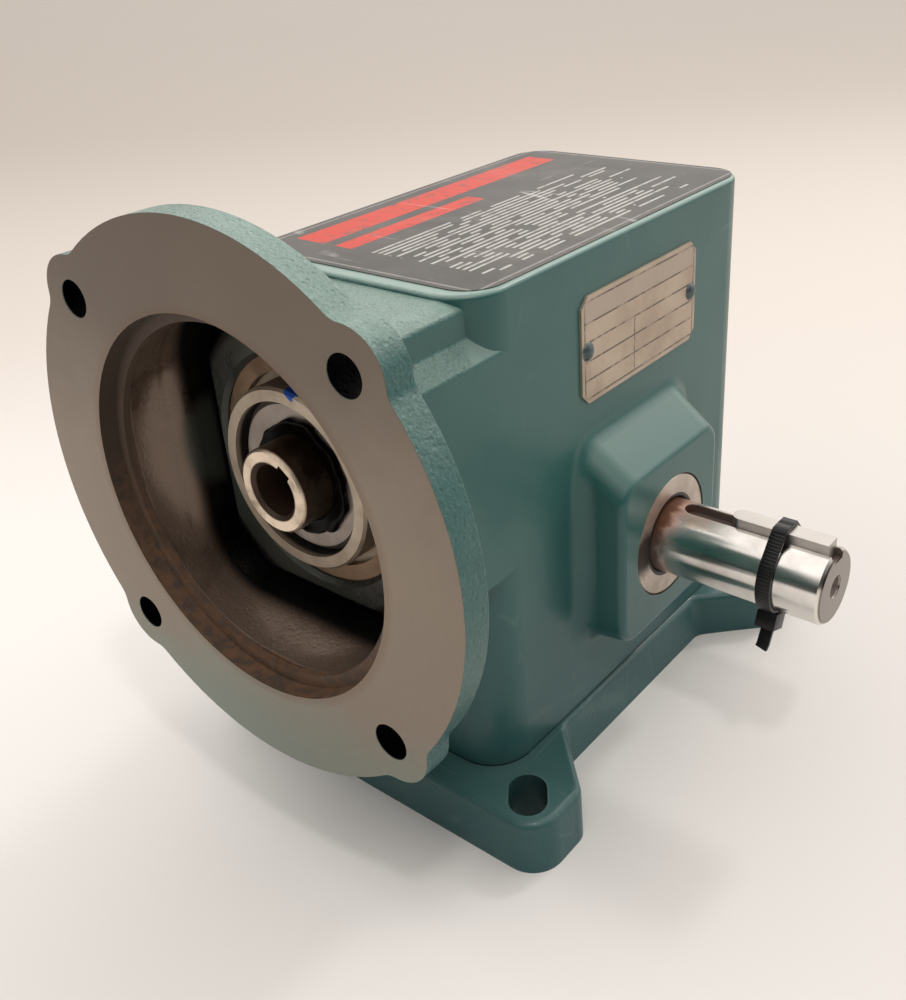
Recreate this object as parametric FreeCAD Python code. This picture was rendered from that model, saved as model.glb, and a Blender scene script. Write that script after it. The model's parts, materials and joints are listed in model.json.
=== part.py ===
import FreeCAD, Part
import math
import os

os.makedirs("parts", exist_ok=True)
V = FreeCAD.Vector

# Right-angle worm gear reducer with a hollow motor input, sizes in millimetres.
# X runs along the output shaft, Y along the worm from the motor face to the rear, Z is up.
# The origin is the middle of the foot pattern on the mounting plane.

# Worm and wheel
centre_distance = 50.8
worm_pitch_radius = 13.3
wheel_teeth = 30
pressure_angle = math.radians(20)
flank_clearance = 0.3
tip_clearance = 0.6
root_depth_share = 1.2
wheel_face_width = 19.0
rim_over_pitch = 5.2
worm_half_length = 20.0
thread_end_chamfer = 3.0
thread_overlap = 0.3
wheel_sections = 5
flank_points = 6

# Base casting
base_height = 18.2
base_half_length = 92.3
base_half_width = 50.6
foot_half_width = 72.6
foot_end_length = 24.0
foot_corner = 11.0
foot_blend = 7.0
base_draft = 1.6
base_top_round = 2.6
slot_side_margin = 14.2
slot_end_margin = 13.6
slot_width = 12.4
slot_length = 17.8
base_recess_depth = 9.5
base_rim = 13.0
base_recess_corner = 8.0

# Housing casting
floor_wall = 8.0
screw_boss_radius = 10.5
screw_boss_height = 8.0
box_width = 95.0
box_length = 156.0
box_corner = 15.0
deck_rise = 52.8
deck_edge_round = 1.6
side_wall = 7.5
deck_wall = 9.0
rear_wall = 16.0
chamber_corner = 8.0

# Motor flange and neck
face_to_output = 128.6
flange_radius = 82.55
flange_thickness = 9.5
bolt_rim_distance = 7.9375
bolt_hole_radius = 5.56
ear_radius = 12.6
ear_blend = 7.0
flange_rim_round = 0.8
flange_back_blend = 2.0
pilot_radius = 57.15
pilot_depth = 5.5
ledge_radius = 53.2
ledge_depth = 2.2
bowl_mouth_step = 0.9
bowl_mouth_corner = 48.0
bowl_waist_depth = 24.5
bowl_depth = 38.6
bowl_side_wall = 4.6
bowl_top_wall = 4.7
bowl_corner = 20.0
bowl_floor_taper = 1.5
bowl_sections = 5
bowl_boss_wall = 2.4
bowl_boss_height = 3.0
bowl_boss_chamfer = 12.0
bowl_boss_round = 4.0
bowl_boss_edge = 1.8
bowl_boss_depth = 29.1
neck_flare_radius = 69.0
neck_flare_corner = 61.0
neck_flare_length = 14.0
neck_half_height = 51.5
neck_corner = 13.0
neck_blend = 6.0
pocket_wall_inset = 5.3
pocket_wall_foot = 41.5
pocket_floor_end = 34.0
pocket_floor_reach = 1.0
pocket_edge_round = 2.0

# Output side
boss_reach = 63.5
boss_half = 30.3
boss_root_half = 32.0
boss_top_slope = 13.0
boss_corner = 9.0
boss_face_round = 2.4
boss_root_blend = 7.0
output_reach = 120.65
output_radius = 12.7
output_end_chamfer = 1.2
centre_hole_radius = 2.0
key_width = 6.35
key_seat_depth = 3.3
key_seat_length = 52.0
key_length = 32.65
key_end_gap = 2.2

# Cable tie that keeps the key on the shaft
tie_end_gap = 17.65
tie_width = 4.8
tie_thickness = 1.3
tie_slack = 0.15
tie_head_length = 7.4
tie_head_depth = 5.6
tie_head_wall = 0.9
tie_head_angle = -112.0
tie_tail_length = 6.5

# Fits
press_clearance = 0.02
running_clearance = 0.08
race_clearance = 0.3
cage_clearance = 0.15

# Input end, from the bowl boss inward
snap_ring_inset = 2.0
snap_ring_width = 2.5
snap_ring_grip = 1.6
input_bore_chamfer = 1.4
snap_ring_wall = 6.6
snap_ring_gap_angle = 34.0
carrier_flange_width = 7.0
carrier_sleeve_gap = 2.5
carrier_sleeve_reach = 5.8
carrier_stop_rise = 2.3
carrier_stop_width = 4.5
carrier_relief = 1.2
carrier_edge_chamfer = 0.8
o_ring_thickness = 2.6
o_ring_play = 0.6
carrier_sleeve_wall = 4.2
input_seal_width = 9.6
seal_steel = 1.2
input_seal_window = 3.6
input_seal_chamfer = 2.0
seal_lip_root = 1.0
seal_lip_half = 0.8
main_lip_share = 0.72
input_bearing_bore = 17.5
input_bearing_radius = 36.0
input_bearing_width = 17.0
input_ball_radius = 5.55
input_ball_count = 9
ball_land_share = 0.6
cage_thickness_share = 0.5
cage_rim = 1.2
bearing_chamfer = 0.9
input_shoulder_rise = 5.0
input_shoulder_wall = 7.0

# Worm shaft with its hollow motor end
quill_radius = 13.0
quill_inset = 15.6
quill_chamfer = 0.8
quill_bore_radius = 7.9375
quill_bore_depth = 56.0
quill_bore_chamfer = 1.1
drill_tip_angle = 31.0
quill_key_width = 4.76
quill_key_reach = 10.4
quill_key_turn = 38.0
quill_collar_radius = 21.0
quill_collar_width = 6.0
shaft_snap_width = 1.75
shaft_snap_rise = 2.6
shaft_snap_grip = 0.9
shaft_snap_shoulder = 1.6
snap_ring_eye_radius = 1.1
worm_neck_radius = 14.6
worm_runout = 5.0
worm_tail_radius = 13.0

# Rear bearing of the worm
rear_bearing_bore = 10.0
rear_bearing_radius = 26.0
rear_bearing_width = 15.0
rear_ball_radius = 4.75
rear_ball_count = 7
rear_bearing_inset = 8.0
rear_lip = 2.0
rear_lip_step = 3.5
rear_boss_wall = 7.0
rear_plug_inset = 1.5
rear_plug_width = 5.5
rear_plug_sheet = 1.6
worm_end_gap = 0.7

# Output bearings, seal and wheel seat
output_bearing_bore = 13.494
output_bearing_radius = 25.146
output_bearing_width = 14.2
cone_offset = 1.8
roller_count = 18
roller_length = 10.0
roller_radius = 2.2
roller_pitch_radius = 19.0
roller_tilt = math.radians(11.5)
cone_rib_gap = 0.4
cone_large_rib = 1.9
cone_small_rib = 1.0
roller_cage_offset = 0.4
roller_cage_thickness = 0.9
roller_cage_rim = 1.3
output_seal_radius = 21.7
output_seal_width = 7.5
output_seal_inset = 0.3
output_seal_window = 2.0
output_seal_chamfer = 0.7
seal_stop_width = 2.5
seal_stop_radius = 18.6
wheel_seat_radius = 15.9
hub_half_length = 20.0
hub_radius = 30.0
hub_core_radius = 23.0
hub_web_half = 7.0
hub_rim_wall = 4.0
shaft_collar_radius = 20.0
shaft_collar_width = 4.0
spacer_wall = 3.6
spacer_overlap = 0.4
shaft_end_gap = 0.6
wheel_key_width = 7.94
wheel_key_height = 7.0
wheel_key_length = 36.0

# Side cover
cover_pad_gap = 0.4
cover_pad_rise = 2.0
cover_opening_margin = 1.3
cover_bolt_inset = 6.0
cover_bolt_margin = 7.6
gasket_thickness = 0.5
cover_thickness = 8.0
cover_dome_radius = 33.0
cover_dome_rise = 3.6
cover_bolt_count = 6
cover_edge_round = 1.5
cover_spigot_length = 6.0
cover_spigot_wall = 5.0
cover_seat_wall = 5.0
cover_end_gap = 2.5

# Fasteners, plugs and plates
screw_radius = 3.97
screw_thread_depth = 12.0
screw_tip_gap = 1.0
screw_washer_height = 1.2
screw_washer_margin = 0.4
hex_across_flats = 12.7
hex_head_height = 5.4
base_screw_margin = 0.8
base_screw_end_margin = 34.3
socket_head_radius = 6.4
socket_head_height = 7.9
socket_across_flats = 6.35
screw_hole_clearance = 0.4
plug_radius = 8.5
plug_depth = 10.0
plug_inset = 0.6
plug_socket_flats = 7.9
plug_socket_depth = 6.0
vent_plug_gap = 4.0
drain_plug_gap = 5.0
plate_start_y = -29.2
plate_end_y = 39.0
plate_bottom_rise = 4.3
plate_height = 34.4
plate_thickness = 0.8
plate_corner = 3.4
plate_pin_inset = 3.2
plate_pin_radius = 1.6
plate_pin_head_radius = 3.0
plate_pin_head_height = 1.5
plate_pin_length = 5.0
label_inset = 1.9
label_front_inset = 5.3
label_corner = 11.0
label_thickness = 0.25

# Places worked out from the sizes above
wheel_pitch_radius = centre_distance - worm_pitch_radius
module = 2 * wheel_pitch_radius / wheel_teeth
lead = math.pi * module
worm_outer_radius = worm_pitch_radius + module
worm_root_radius = worm_pitch_radius - root_depth_share * module
wheel_rim_radius = wheel_pitch_radius + rim_over_pitch
wheel_half_width = wheel_face_width / 2
cover_opening_radius = wheel_rim_radius + cover_opening_margin
cover_bolt_radius = cover_opening_radius + cover_bolt_inset
cover_pad_radius = cover_bolt_radius + cover_bolt_margin
floor_height = base_height + floor_wall
output_height = base_height + cover_pad_gap + cover_pad_radius
input_height = output_height + centre_distance
deck_height = input_height + deck_rise
half_width = box_width / 2
half_length = box_length / 2
face_y = -face_to_output
flange_back_y = face_y + flange_thickness
bolt_offset = (flange_radius - bolt_rim_distance) / math.sqrt(2)
bowl_boss_y = face_y + bowl_boss_depth
snap_ring_y = bowl_boss_y + snap_ring_inset
carrier_y = snap_ring_y + snap_ring_width
input_bearing_y = carrier_y + carrier_flange_width
input_shoulder_y = input_bearing_y + input_bearing_width
chamber_front_y = input_shoulder_y + input_shoulder_wall
chamber_rear_y = half_length - rear_wall
sleeve_front_y = bowl_boss_y - carrier_sleeve_reach
input_seal_y = input_bearing_y - carrier_stop_width - input_seal_width
input_snap_radius = input_bearing_radius + snap_ring_grip
snap_ring_inner_radius = input_snap_radius - snap_ring_wall
carrier_sleeve_radius = snap_ring_inner_radius - carrier_sleeve_gap
input_seal_radius = carrier_sleeve_radius - carrier_sleeve_wall
carrier_inner_radius = input_seal_radius - carrier_stop_rise
input_shoulder_radius = input_bearing_radius - input_shoulder_rise
quill_end_y = face_y + quill_inset
shaft_snap_y = input_bearing_y - shaft_snap_width
quill_step_y = shaft_snap_y - shaft_snap_shoulder
rear_bearing_end_y = half_length - rear_bearing_inset
rear_bearing_y = rear_bearing_end_y - rear_bearing_width
rear_plug_y = half_length - rear_plug_inset - rear_plug_width
worm_end_y = rear_plug_y - worm_end_gap
vent_plug_z = input_height + rear_bearing_radius + plug_radius + vent_plug_gap
drain_plug_z = floor_height + plug_radius + drain_plug_gap
output_seal_x = boss_reach - output_seal_width
cup_outer_x = output_seal_x - seal_stop_width
cup_inner_x = cup_outer_x - output_bearing_width
cone_inner_x = cup_inner_x - cone_offset
cone_outer_x = cone_inner_x + output_bearing_width
roller_middle_x = (cup_inner_x + cone_outer_x) / 2
roller_apex = roller_pitch_radius / math.sin(roller_tilt)
cover_seat_x = half_width + cover_pad_rise
cover_face_x = cover_seat_x + gasket_thickness
cover_outer_x = cover_face_x + cover_thickness
cover_screw_depth = side_wall + cover_pad_rise - screw_tip_gap
key_seat_radius = output_radius - key_seat_depth
key_end = output_reach - key_end_gap
key_start = key_end - key_length
key_seat_start = output_reach - key_seat_length
tie_x = output_reach - tie_end_gap
key_top_radius = key_seat_radius + key_width
shank_radius = screw_radius - press_clearance
slot_x = foot_half_width - slot_side_margin
slot_y = base_half_length - slot_end_margin
base_screw_x = base_half_width - base_rim - socket_head_radius - base_screw_margin
base_screw_y = base_half_length - base_screw_end_margin


def rounded_outline(corners, place):
    # Closed wire through corners (u, v, radius), each round corner drawn as an arc.
    count = len(corners)
    stops = []
    for index in range(count):
        u, v, radius = corners[index]
        before = corners[index - 1]
        after = corners[(index + 1) % count]
        to_before = V(before[0] - u, before[1] - v, 0).normalize()
        to_after = V(after[0] - u, after[1] - v, 0).normalize()
        here = V(u, v, 0)
        if radius == 0:
            stops.append((here, None, here))
            continue
        half_angle = to_before.getAngle(to_after) / 2
        reach = radius / math.tan(half_angle)
        inward = (to_before + to_after).normalize()
        middle = here + inward * (radius / math.sin(half_angle) - radius)
        stops.append((here + to_before * reach, middle, here + to_after * reach))
    edges = []
    for index in range(count):
        start, middle, end = stops[index]
        if middle is not None:
            arc = Part.Arc(place(start.x, start.y), place(middle.x, middle.y), place(end.x, end.y))
            edges.append(arc.toShape())
        next_start = stops[(index + 1) % count][0]
        if end.distanceToPoint(next_start) > 1e-6:
            edges.append(Part.makeLine(place(end.x, end.y), place(next_start.x, next_start.y)))
    return Part.Wire(edges)


def rectangle_corners(left, right, bottom, top, radius):
    return [(left, bottom, radius), (right, bottom, radius), (right, top, radius), (left, top, radius)]


def extruded(wire, direction):
    return Part.Face(wire).extrude(direction)


def turned_on_worm(profile):
    # Solid of revolution about the worm axis from points (y, radius).
    points = [V(radius, y, input_height) for y, radius in profile]
    face = Part.Face(Part.makePolygon(points + points[:1]))
    return face.revolve(V(0, 0, input_height), V(0, 1, 0), 360)


def turned_on_output(profile):
    # Solid of revolution about the output axis from points (x, radius).
    points = [V(x, radius, output_height) for x, radius in profile]
    face = Part.Face(Part.makePolygon(points + points[:1]))
    return face.revolve(V(0, 0, output_height), V(1, 0, 0), 360)


def worm_ring(outer, inner, start, end):
    return turned_on_worm([(start, inner), (end, inner), (end, outer), (start, outer)])


def output_ring(outer, inner, start, end):
    return turned_on_output([(start, inner), (end, inner), (end, outer), (start, outer)])


def mirrored_x(shape):
    return shape.mirror(V(0, 0, 0), V(1, 0, 0))


def hexagon(across_flats, place):
    radius = across_flats / math.sqrt(3)
    angles = [math.radians(60 * step) for step in range(6)]
    points = [place(radius * math.cos(a), radius * math.sin(a)) for a in angles]
    return Part.makePolygon(points + points[:1])


def around_worm(shape, count):
    turns = []
    for step in range(count):
        copy = shape.copy()
        copy.rotate(V(0, 0, input_height), V(0, 1, 0), 360 * step / count)
        turns.append(copy)
    return turns


def around_output(shape, count):
    turns = []
    for step in range(count):
        copy = shape.copy()
        copy.rotate(V(0, 0, output_height), V(1, 0, 0), 360 * step / count)
        turns.append(copy)
    return turns


def flange_bolt_places():
    return [(x * bolt_offset, z * bolt_offset + input_height) for x in (-1, 1) for z in (-1, 1)]


def base_screw_places():
    return [(x * base_screw_x, y * base_screw_y) for x in (-1, 1) for y in (-1, 1)]


def cover_bolt_places():
    angles = [math.radians(360 * (step + 0.5) / cover_bolt_count) for step in range(cover_bolt_count)]
    radius = cover_bolt_radius
    return [(radius * math.cos(a), output_height + radius * math.sin(a)) for a in angles]


def plug_places():
    return [vent_plug_z, drain_plug_z]


def plate_pin_places():
    middle_z = input_height + plate_bottom_rise + plate_height / 2
    return [(plate_start_y + plate_pin_inset, middle_z), (plate_end_y - plate_pin_inset, middle_z)]


def base_outline(inset, z):
    # Plan outline of the base with its four flared feet, drawn in by an inset.
    foot_x = foot_half_width - inset
    side_x = base_half_width - inset
    end_y = base_half_length - inset
    foot_y = base_half_length - foot_end_length - inset
    flare = foot_x - side_x
    quarter = [
        (foot_x, -end_y, foot_corner),
        (foot_x, -foot_y, foot_blend),
        (side_x, -foot_y + flare, foot_blend),
    ]
    right = quarter + [(x, -y, radius) for x, y, radius in reversed(quarter)]
    left = [(-x, -y, radius) for x, y, radius in right]
    return rounded_outline(right + left, lambda u, v: V(u, v, z))


def make_slot(x, y):
    # Foot slot pointing away from the middle of the base.
    half_straight = (slot_length - slot_width) / 2
    radius = slot_width / 2
    first = Part.makeCylinder(radius, base_height, V(half_straight, 0, 0))
    second = Part.makeCylinder(radius, base_height, V(-half_straight, 0, 0))
    middle = Part.makeBox(2 * half_straight, slot_width, base_height, V(-half_straight, -radius, 0))
    slot = first.fuse([second, middle]).removeSplitter()
    slot.rotate(V(0, 0, 0), V(0, 0, 1), math.degrees(math.atan2(y, x)))
    slot.translate(V(x, y, 0))
    return slot


def make_base():
    body = Part.makeLoft([base_outline(0, 0), base_outline(base_draft, base_height)], True, True)
    top_rim = [edge for edge in body.Edges if edge.BoundBox.ZMin > base_height - 0.01]
    body = body.makeFillet(base_top_round, top_rim)
    recess_corners = rectangle_corners(
        -base_half_width + base_rim, base_half_width - base_rim,
        -base_half_length + base_rim, base_half_length - base_rim, base_recess_corner)
    recess = extruded(rounded_outline(recess_corners, lambda u, v: V(u, v, 0)), V(0, 0, base_recess_depth))
    cuts = [recess]
    for x in (-slot_x, slot_x):
        for y in (-slot_y, slot_y):
            cuts.append(make_slot(x, y))
    for x, y in base_screw_places():
        cuts.append(Part.makeCylinder(screw_radius + screw_hole_clearance, base_height, V(x, y, 0)))
    return body.cut(cuts)


def make_base_screws():
    screws = []
    for x, y in base_screw_places():
        head_bottom = base_recess_depth - socket_head_height
        head = Part.makeCylinder(socket_head_radius, socket_head_height, V(x, y, head_bottom))
        shank_length = base_height + screw_thread_depth - base_recess_depth - screw_tip_gap
        shank = Part.makeCylinder(shank_radius, shank_length, V(x, y, base_recess_depth))
        socket = extruded(hexagon(socket_across_flats, lambda u, v: V(x + u, y + v, head_bottom)),
                          V(0, 0, socket_head_height / 2))
        screws.append(head.fuse(shank).cut(socket))
    return Part.makeCompound(screws)


def make_box():
    outline = rounded_outline(
        rectangle_corners(-half_width, half_width, -half_length, half_length, box_corner),
        lambda u, v: V(u, v, base_height))
    box = extruded(outline, V(0, 0, deck_height - base_height))
    rim = [edge for edge in box.Edges if edge.BoundBox.ZMin > deck_height - 0.01]
    return box.makeFillet(deck_edge_round, rim)


def neck_section(y, half_u, half_v, radius):
    corners = rectangle_corners(-half_u, half_u, input_height - half_v, input_height + half_v, radius)
    return rounded_outline(corners, lambda u, v: V(u, y, v))


def lies_across(edge, y):
    # True for an edge in the plane across the worm axis at one place.
    return edge.BoundBox.YLength < 0.01 and abs(edge.BoundBox.YMin - y) < 0.01


def pocket_outline():
    # Clearance beside a flange bolt, as (across, up) from the worm axis: upright wall, then a sloping floor.
    wall = half_width - pocket_wall_inset
    end = half_width + pocket_floor_reach
    return [(wall, flange_radius), (wall, pocket_wall_foot), (end, pocket_floor_end),
            (flange_radius, pocket_floor_end), (flange_radius, flange_radius)]


def is_pocket_edge(edge):
    # True for a long edge where a bolt pocket breaks out of the neck, or where its wall meets its floor.
    if edge.BoundBox.YLength < 1:
        return False
    wall = half_width - pocket_wall_inset
    for vertex in edge.Vertexes:
        across = abs(vertex.X)
        up = abs(vertex.Z - input_height)
        on_wall = abs(across - wall) < 0.01 and up > pocket_wall_foot - 0.01
        on_side = abs(across - half_width) < 0.01 and pocket_floor_end < up < pocket_wall_foot
        if not (on_wall or on_side):
            return False
    return True


def make_neck():
    inside_y = -half_length + box_corner
    shoulder_y = flange_back_y + neck_flare_length
    near_box = neck_section(inside_y, half_width, neck_half_height, neck_corner)
    shoulder = neck_section(shoulder_y, half_width, neck_half_height, neck_corner)
    flare = neck_section(flange_back_y, neck_flare_radius, neck_flare_radius, neck_flare_corner)
    straight = Part.makeLoft([near_box, shoulder], True, True)
    flared = Part.makeLoft([shoulder, flare], True, True)
    neck = straight.fuse(flared)
    neck = neck.makeFillet(neck_blend, [edge for edge in neck.Edges if lies_across(edge, shoulder_y)])
    pockets = []
    for side in (-1, 1):
        for rise in (-1, 1):
            points = [V(side * u, flange_back_y, input_height + rise * v) for u, v in pocket_outline()]
            pocket = Part.Face(Part.makePolygon(points + points[:1]))
            pockets.append(pocket.extrude(V(0, inside_y - flange_back_y, 0)))
    neck = neck.cut(pockets)
    return neck.makeFillet(pocket_edge_round, [edge for edge in neck.Edges if is_pocket_edge(edge)])


def is_ear_corner(edge):
    # True for the straight edge where an ear meets the round rim.
    box = edge.BoundBox
    if box.XLength > 0.01 or box.ZLength > 0.01:
        return False
    from_axis = math.hypot(box.XMin, box.ZMin - input_height)
    from_ears = [math.hypot(box.XMin - x, box.ZMin - z) for x, z in flange_bolt_places()]
    return abs(from_axis - flange_radius) < 0.01 and abs(min(from_ears) - ear_radius) < 0.01


def make_flange():
    disc = Part.makeCylinder(flange_radius, flange_thickness, V(0, face_y, input_height), V(0, 1, 0))
    ears = []
    for x, z in flange_bolt_places():
        ears.append(Part.makeCylinder(ear_radius, flange_thickness, V(x, face_y, z), V(0, 1, 0)))
    flange = disc.fuse(ears).removeSplitter()
    flange = flange.makeFillet(ear_blend, [edge for edge in flange.Edges if is_ear_corner(edge)])
    back_rim = [edge for edge in flange.Edges if lies_across(edge, flange_back_y)]
    return flange.makeFillet(flange_rim_round, back_rim)


def make_output_boss():
    # Raised square boss with a long slope on its top side.
    root_x = half_width - side_wall / 2
    root_corners = rectangle_corners(-boss_root_half, boss_root_half, output_height - boss_root_half,
                                     output_height + boss_root_half + boss_top_slope, boss_corner)
    face_corners = rectangle_corners(-boss_half, boss_half, output_height - boss_half,
                                     output_height + boss_half, boss_corner)
    root = rounded_outline(root_corners, lambda u, v: V(root_x, u, v))
    face = rounded_outline(face_corners, lambda u, v: V(boss_reach, u, v))
    boss = Part.makeLoft([root, face], True, True)
    face_rim = [edge for edge in boss.Edges if edge.BoundBox.XMin > boss_reach - 0.01]
    return boss.makeFillet(boss_face_round, face_rim)


def make_chamber():
    # Oil chamber for the wheel and the worm, with bosses left standing for the rear bearing and screws.
    corners = rectangle_corners(-half_width + side_wall, half_width - side_wall,
                                chamber_front_y, chamber_rear_y, chamber_corner)
    outline = rounded_outline(corners, lambda u, v: V(u, v, floor_height))
    chamber = extruded(outline, V(0, 0, deck_height - deck_wall - floor_height))
    boss_start = rear_bearing_y - rear_lip
    boss = Part.makeCylinder(rear_bearing_radius + rear_boss_wall, half_length - boss_start,
                             V(0, boss_start, input_height), V(0, 1, 0))
    standing = [boss]
    for x, y in base_screw_places():
        standing.append(Part.makeCylinder(screw_boss_radius, screw_boss_height, V(x, y, floor_height)))
    return chamber.cut(standing)


def make_bowl():
    # Space inside the flange, round at the mouth and squarer towards the floor, around a standing boss.
    ledge_end = face_y + pilot_depth + ledge_depth
    waist_y = face_y + bowl_waist_depth
    floor_y = face_y + bowl_depth
    mouth = turned_on_worm([
        (face_y, 0), (face_y, pilot_radius), (face_y + pilot_depth, pilot_radius),
        (face_y + pilot_depth, ledge_radius), (ledge_end, ledge_radius), (ledge_end, 0)])
    mouth_half = ledge_radius - bowl_mouth_step
    waist_u = half_width - bowl_side_wall
    waist_v = neck_half_height - bowl_top_wall
    sections = []
    for step in range(bowl_sections):
        share = step / (bowl_sections - 1)
        turn = (1 - math.cos(math.pi * share)) / 2
        y = ledge_end + (waist_y - ledge_end) * share
        half_u = mouth_half + (waist_u - mouth_half) * turn
        half_v = mouth_half + (waist_v - mouth_half) * turn
        corner = bowl_mouth_corner + (bowl_corner - bowl_mouth_corner) * turn
        sections.append(neck_section(y, half_u, half_v, corner))
    floor = neck_section(floor_y, waist_u - bowl_floor_taper, waist_v - bowl_floor_taper, bowl_corner)
    funnel = Part.makeLoft(sections, True, False)
    well = Part.makeLoft([sections[-1], floor], True, True)
    return mouth.fuse([funnel, well.cut(make_bowl_boss())])


def make_bowl_boss():
    # Eight-sided boss around the input bearing, with a rounded front edge.
    side = input_bearing_radius + bowl_boss_wall
    height = side + bowl_boss_height
    cut = bowl_boss_chamfer
    corners = [(side, cut - height), (side, height - cut), (side - cut, height), (cut - side, height),
               (-side, height - cut), (-side, cut - height), (cut - side, -height), (side - cut, -height)]
    ring = [(u, v + input_height, bowl_boss_round) for u, v in corners]
    boss = extruded(rounded_outline(ring, lambda u, v: V(u, bowl_boss_y, v)), V(0, bowl_depth, 0))
    rim = [edge for edge in boss.Edges if edge.BoundBox.YMax < bowl_boss_y + 0.01]
    return boss.makeFillet(bowl_boss_edge, rim)


def make_input_bore():
    mouth = input_bearing_radius + input_bore_chamfer
    return turned_on_worm([
        (bowl_boss_y, 0), (bowl_boss_y, mouth), (bowl_boss_y + input_bore_chamfer, input_bearing_radius),
        (snap_ring_y, input_bearing_radius), (snap_ring_y, input_snap_radius),
        (carrier_y, input_snap_radius), (carrier_y, input_bearing_radius),
        (input_shoulder_y, input_bearing_radius), (input_shoulder_y, input_shoulder_radius),
        (chamber_front_y, input_shoulder_radius), (chamber_front_y, 0)])


def make_rear_bore():
    start = rear_bearing_y - rear_lip
    lip_radius = rear_bearing_radius - rear_lip_step
    return turned_on_worm([
        (start, 0), (start, lip_radius), (rear_bearing_y, lip_radius),
        (rear_bearing_y, rear_bearing_radius), (half_length, rear_bearing_radius), (half_length, 0)])


def make_output_bore():
    start = half_width - side_wall
    return turned_on_output([
        (start, 0), (start, output_bearing_radius), (cup_outer_x, output_bearing_radius),
        (cup_outer_x, seal_stop_radius), (output_seal_x, seal_stop_radius),
        (output_seal_x, output_seal_radius), (boss_reach, output_seal_radius), (boss_reach, 0)])


def is_boss_root(edge):
    # True for an edge where the output boss meets the side wall.
    box = edge.BoundBox
    if box.XLength > 0.01 or abs(box.XMin - half_width) > 0.01:
        return False
    rise = boss_root_half + boss_top_slope
    beside = box.YMin > -boss_root_half and box.YMax < boss_root_half
    return beside and box.ZMin > output_height - boss_root_half and box.ZMax < output_height + rise


def is_flange_root(edge):
    # True for an edge where the neck meets the back of the flange.
    if not lies_across(edge, flange_back_y):
        return False
    limit = (flange_radius + neck_flare_radius) / 2
    return all(math.hypot(vertex.X, vertex.Z - input_height) < limit for vertex in edge.Vertexes)


def make_housing():
    pad_length = side_wall + cover_pad_rise
    inner_x = half_width - side_wall
    pad = Part.makeCylinder(cover_pad_radius, pad_length, V(-inner_x, 0, output_height), V(-1, 0, 0))
    body = make_box().fuse([make_neck(), make_flange(), make_output_boss(), pad])
    body = body.makeFillet(boss_root_blend, [edge for edge in body.Edges if is_boss_root(edge)])
    body = body.makeFillet(flange_back_blend, [edge for edge in body.Edges if is_flange_root(edge)])
    cuts = [make_chamber(), make_bowl(), make_input_bore(), make_rear_bore(), make_output_bore()]
    pad_base = V(-inner_x, 0, output_height)
    cuts.append(Part.makeCylinder(cover_opening_radius, pad_length, pad_base, V(-1, 0, 0)))
    for x, z in flange_bolt_places():
        cuts.append(Part.makeCylinder(bolt_hole_radius, flange_thickness, V(x, face_y, z), V(0, 1, 0)))
    for x, y in base_screw_places():
        cuts.append(Part.makeCylinder(screw_radius, screw_thread_depth, V(x, y, base_height)))
    for y, z in cover_bolt_places():
        cuts.append(Part.makeCylinder(screw_radius, pad_length, V(-cover_seat_x, y, z), V(1, 0, 0)))
    for z in plug_places():
        cuts.append(Part.makeCylinder(plug_radius, rear_wall, V(0, chamber_rear_y, z), V(0, 1, 0)))
    for y, z in plate_pin_places():
        cuts.append(Part.makeCylinder(plate_pin_radius, plate_pin_length, V(half_width, y, z), V(-1, 0, 0)))
    return body.cut(cuts)


def make_plug(z):
    # Threaded pipe plug in the rear wall, with a hexagon socket.
    outer_y = half_length - plug_inset
    body = Part.makeCylinder(plug_radius - press_clearance, plug_depth, V(0, outer_y, z), V(0, -1, 0))
    socket = hexagon(plug_socket_flats, lambda u, v: V(u, outer_y, z + v))
    return body.cut(extruded(socket, V(0, -plug_socket_depth, 0)))


def make_thread():
    # Right-hand worm: a blank with chamfered ends, cut by one turn of the thread space after another.
    turns = math.ceil(worm_half_length / lead) + 1
    outer = worm_outer_radius + thread_overlap
    root_half = lead / 4 + (worm_root_radius - worm_pitch_radius) * math.tan(pressure_angle)
    outer_half = lead / 4 + (outer - worm_pitch_radius) * math.tan(pressure_angle)
    corners = [V(worm_root_radius, 0, -root_half), V(outer, 0, -outer_half), V(outer, 0, outer_half),
               V(worm_root_radius, 0, root_half)]
    sweep = Part.BRepOffsetAPI.MakePipeShell(Part.Wire(Part.makeHelix(lead, lead, worm_pitch_radius)))
    sweep.setBiNormalMode(V(0, 0, 1))
    sweep.add(Part.makePolygon(corners + corners[:1]))
    sweep.build()
    sweep.makeSolid()
    space = sweep.shape()
    space.rotate(V(0, 0, 0), V(1, 0, 0), -90)
    spaces = []
    for turn in range(-turns, turns):
        copy = space.copy()
        copy.translate(V(0, (turn + 0.25) * lead, input_height))
        spaces.append(copy)
    taper_end = worm_half_length - thread_end_chamfer
    blank = turned_on_worm([
        (-worm_half_length, 0), (-worm_half_length, worm_root_radius), (-taper_end, worm_outer_radius),
        (taper_end, worm_outer_radius), (worm_half_length, worm_root_radius), (worm_half_length, 0)])
    return blank.cut(spaces)


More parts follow.
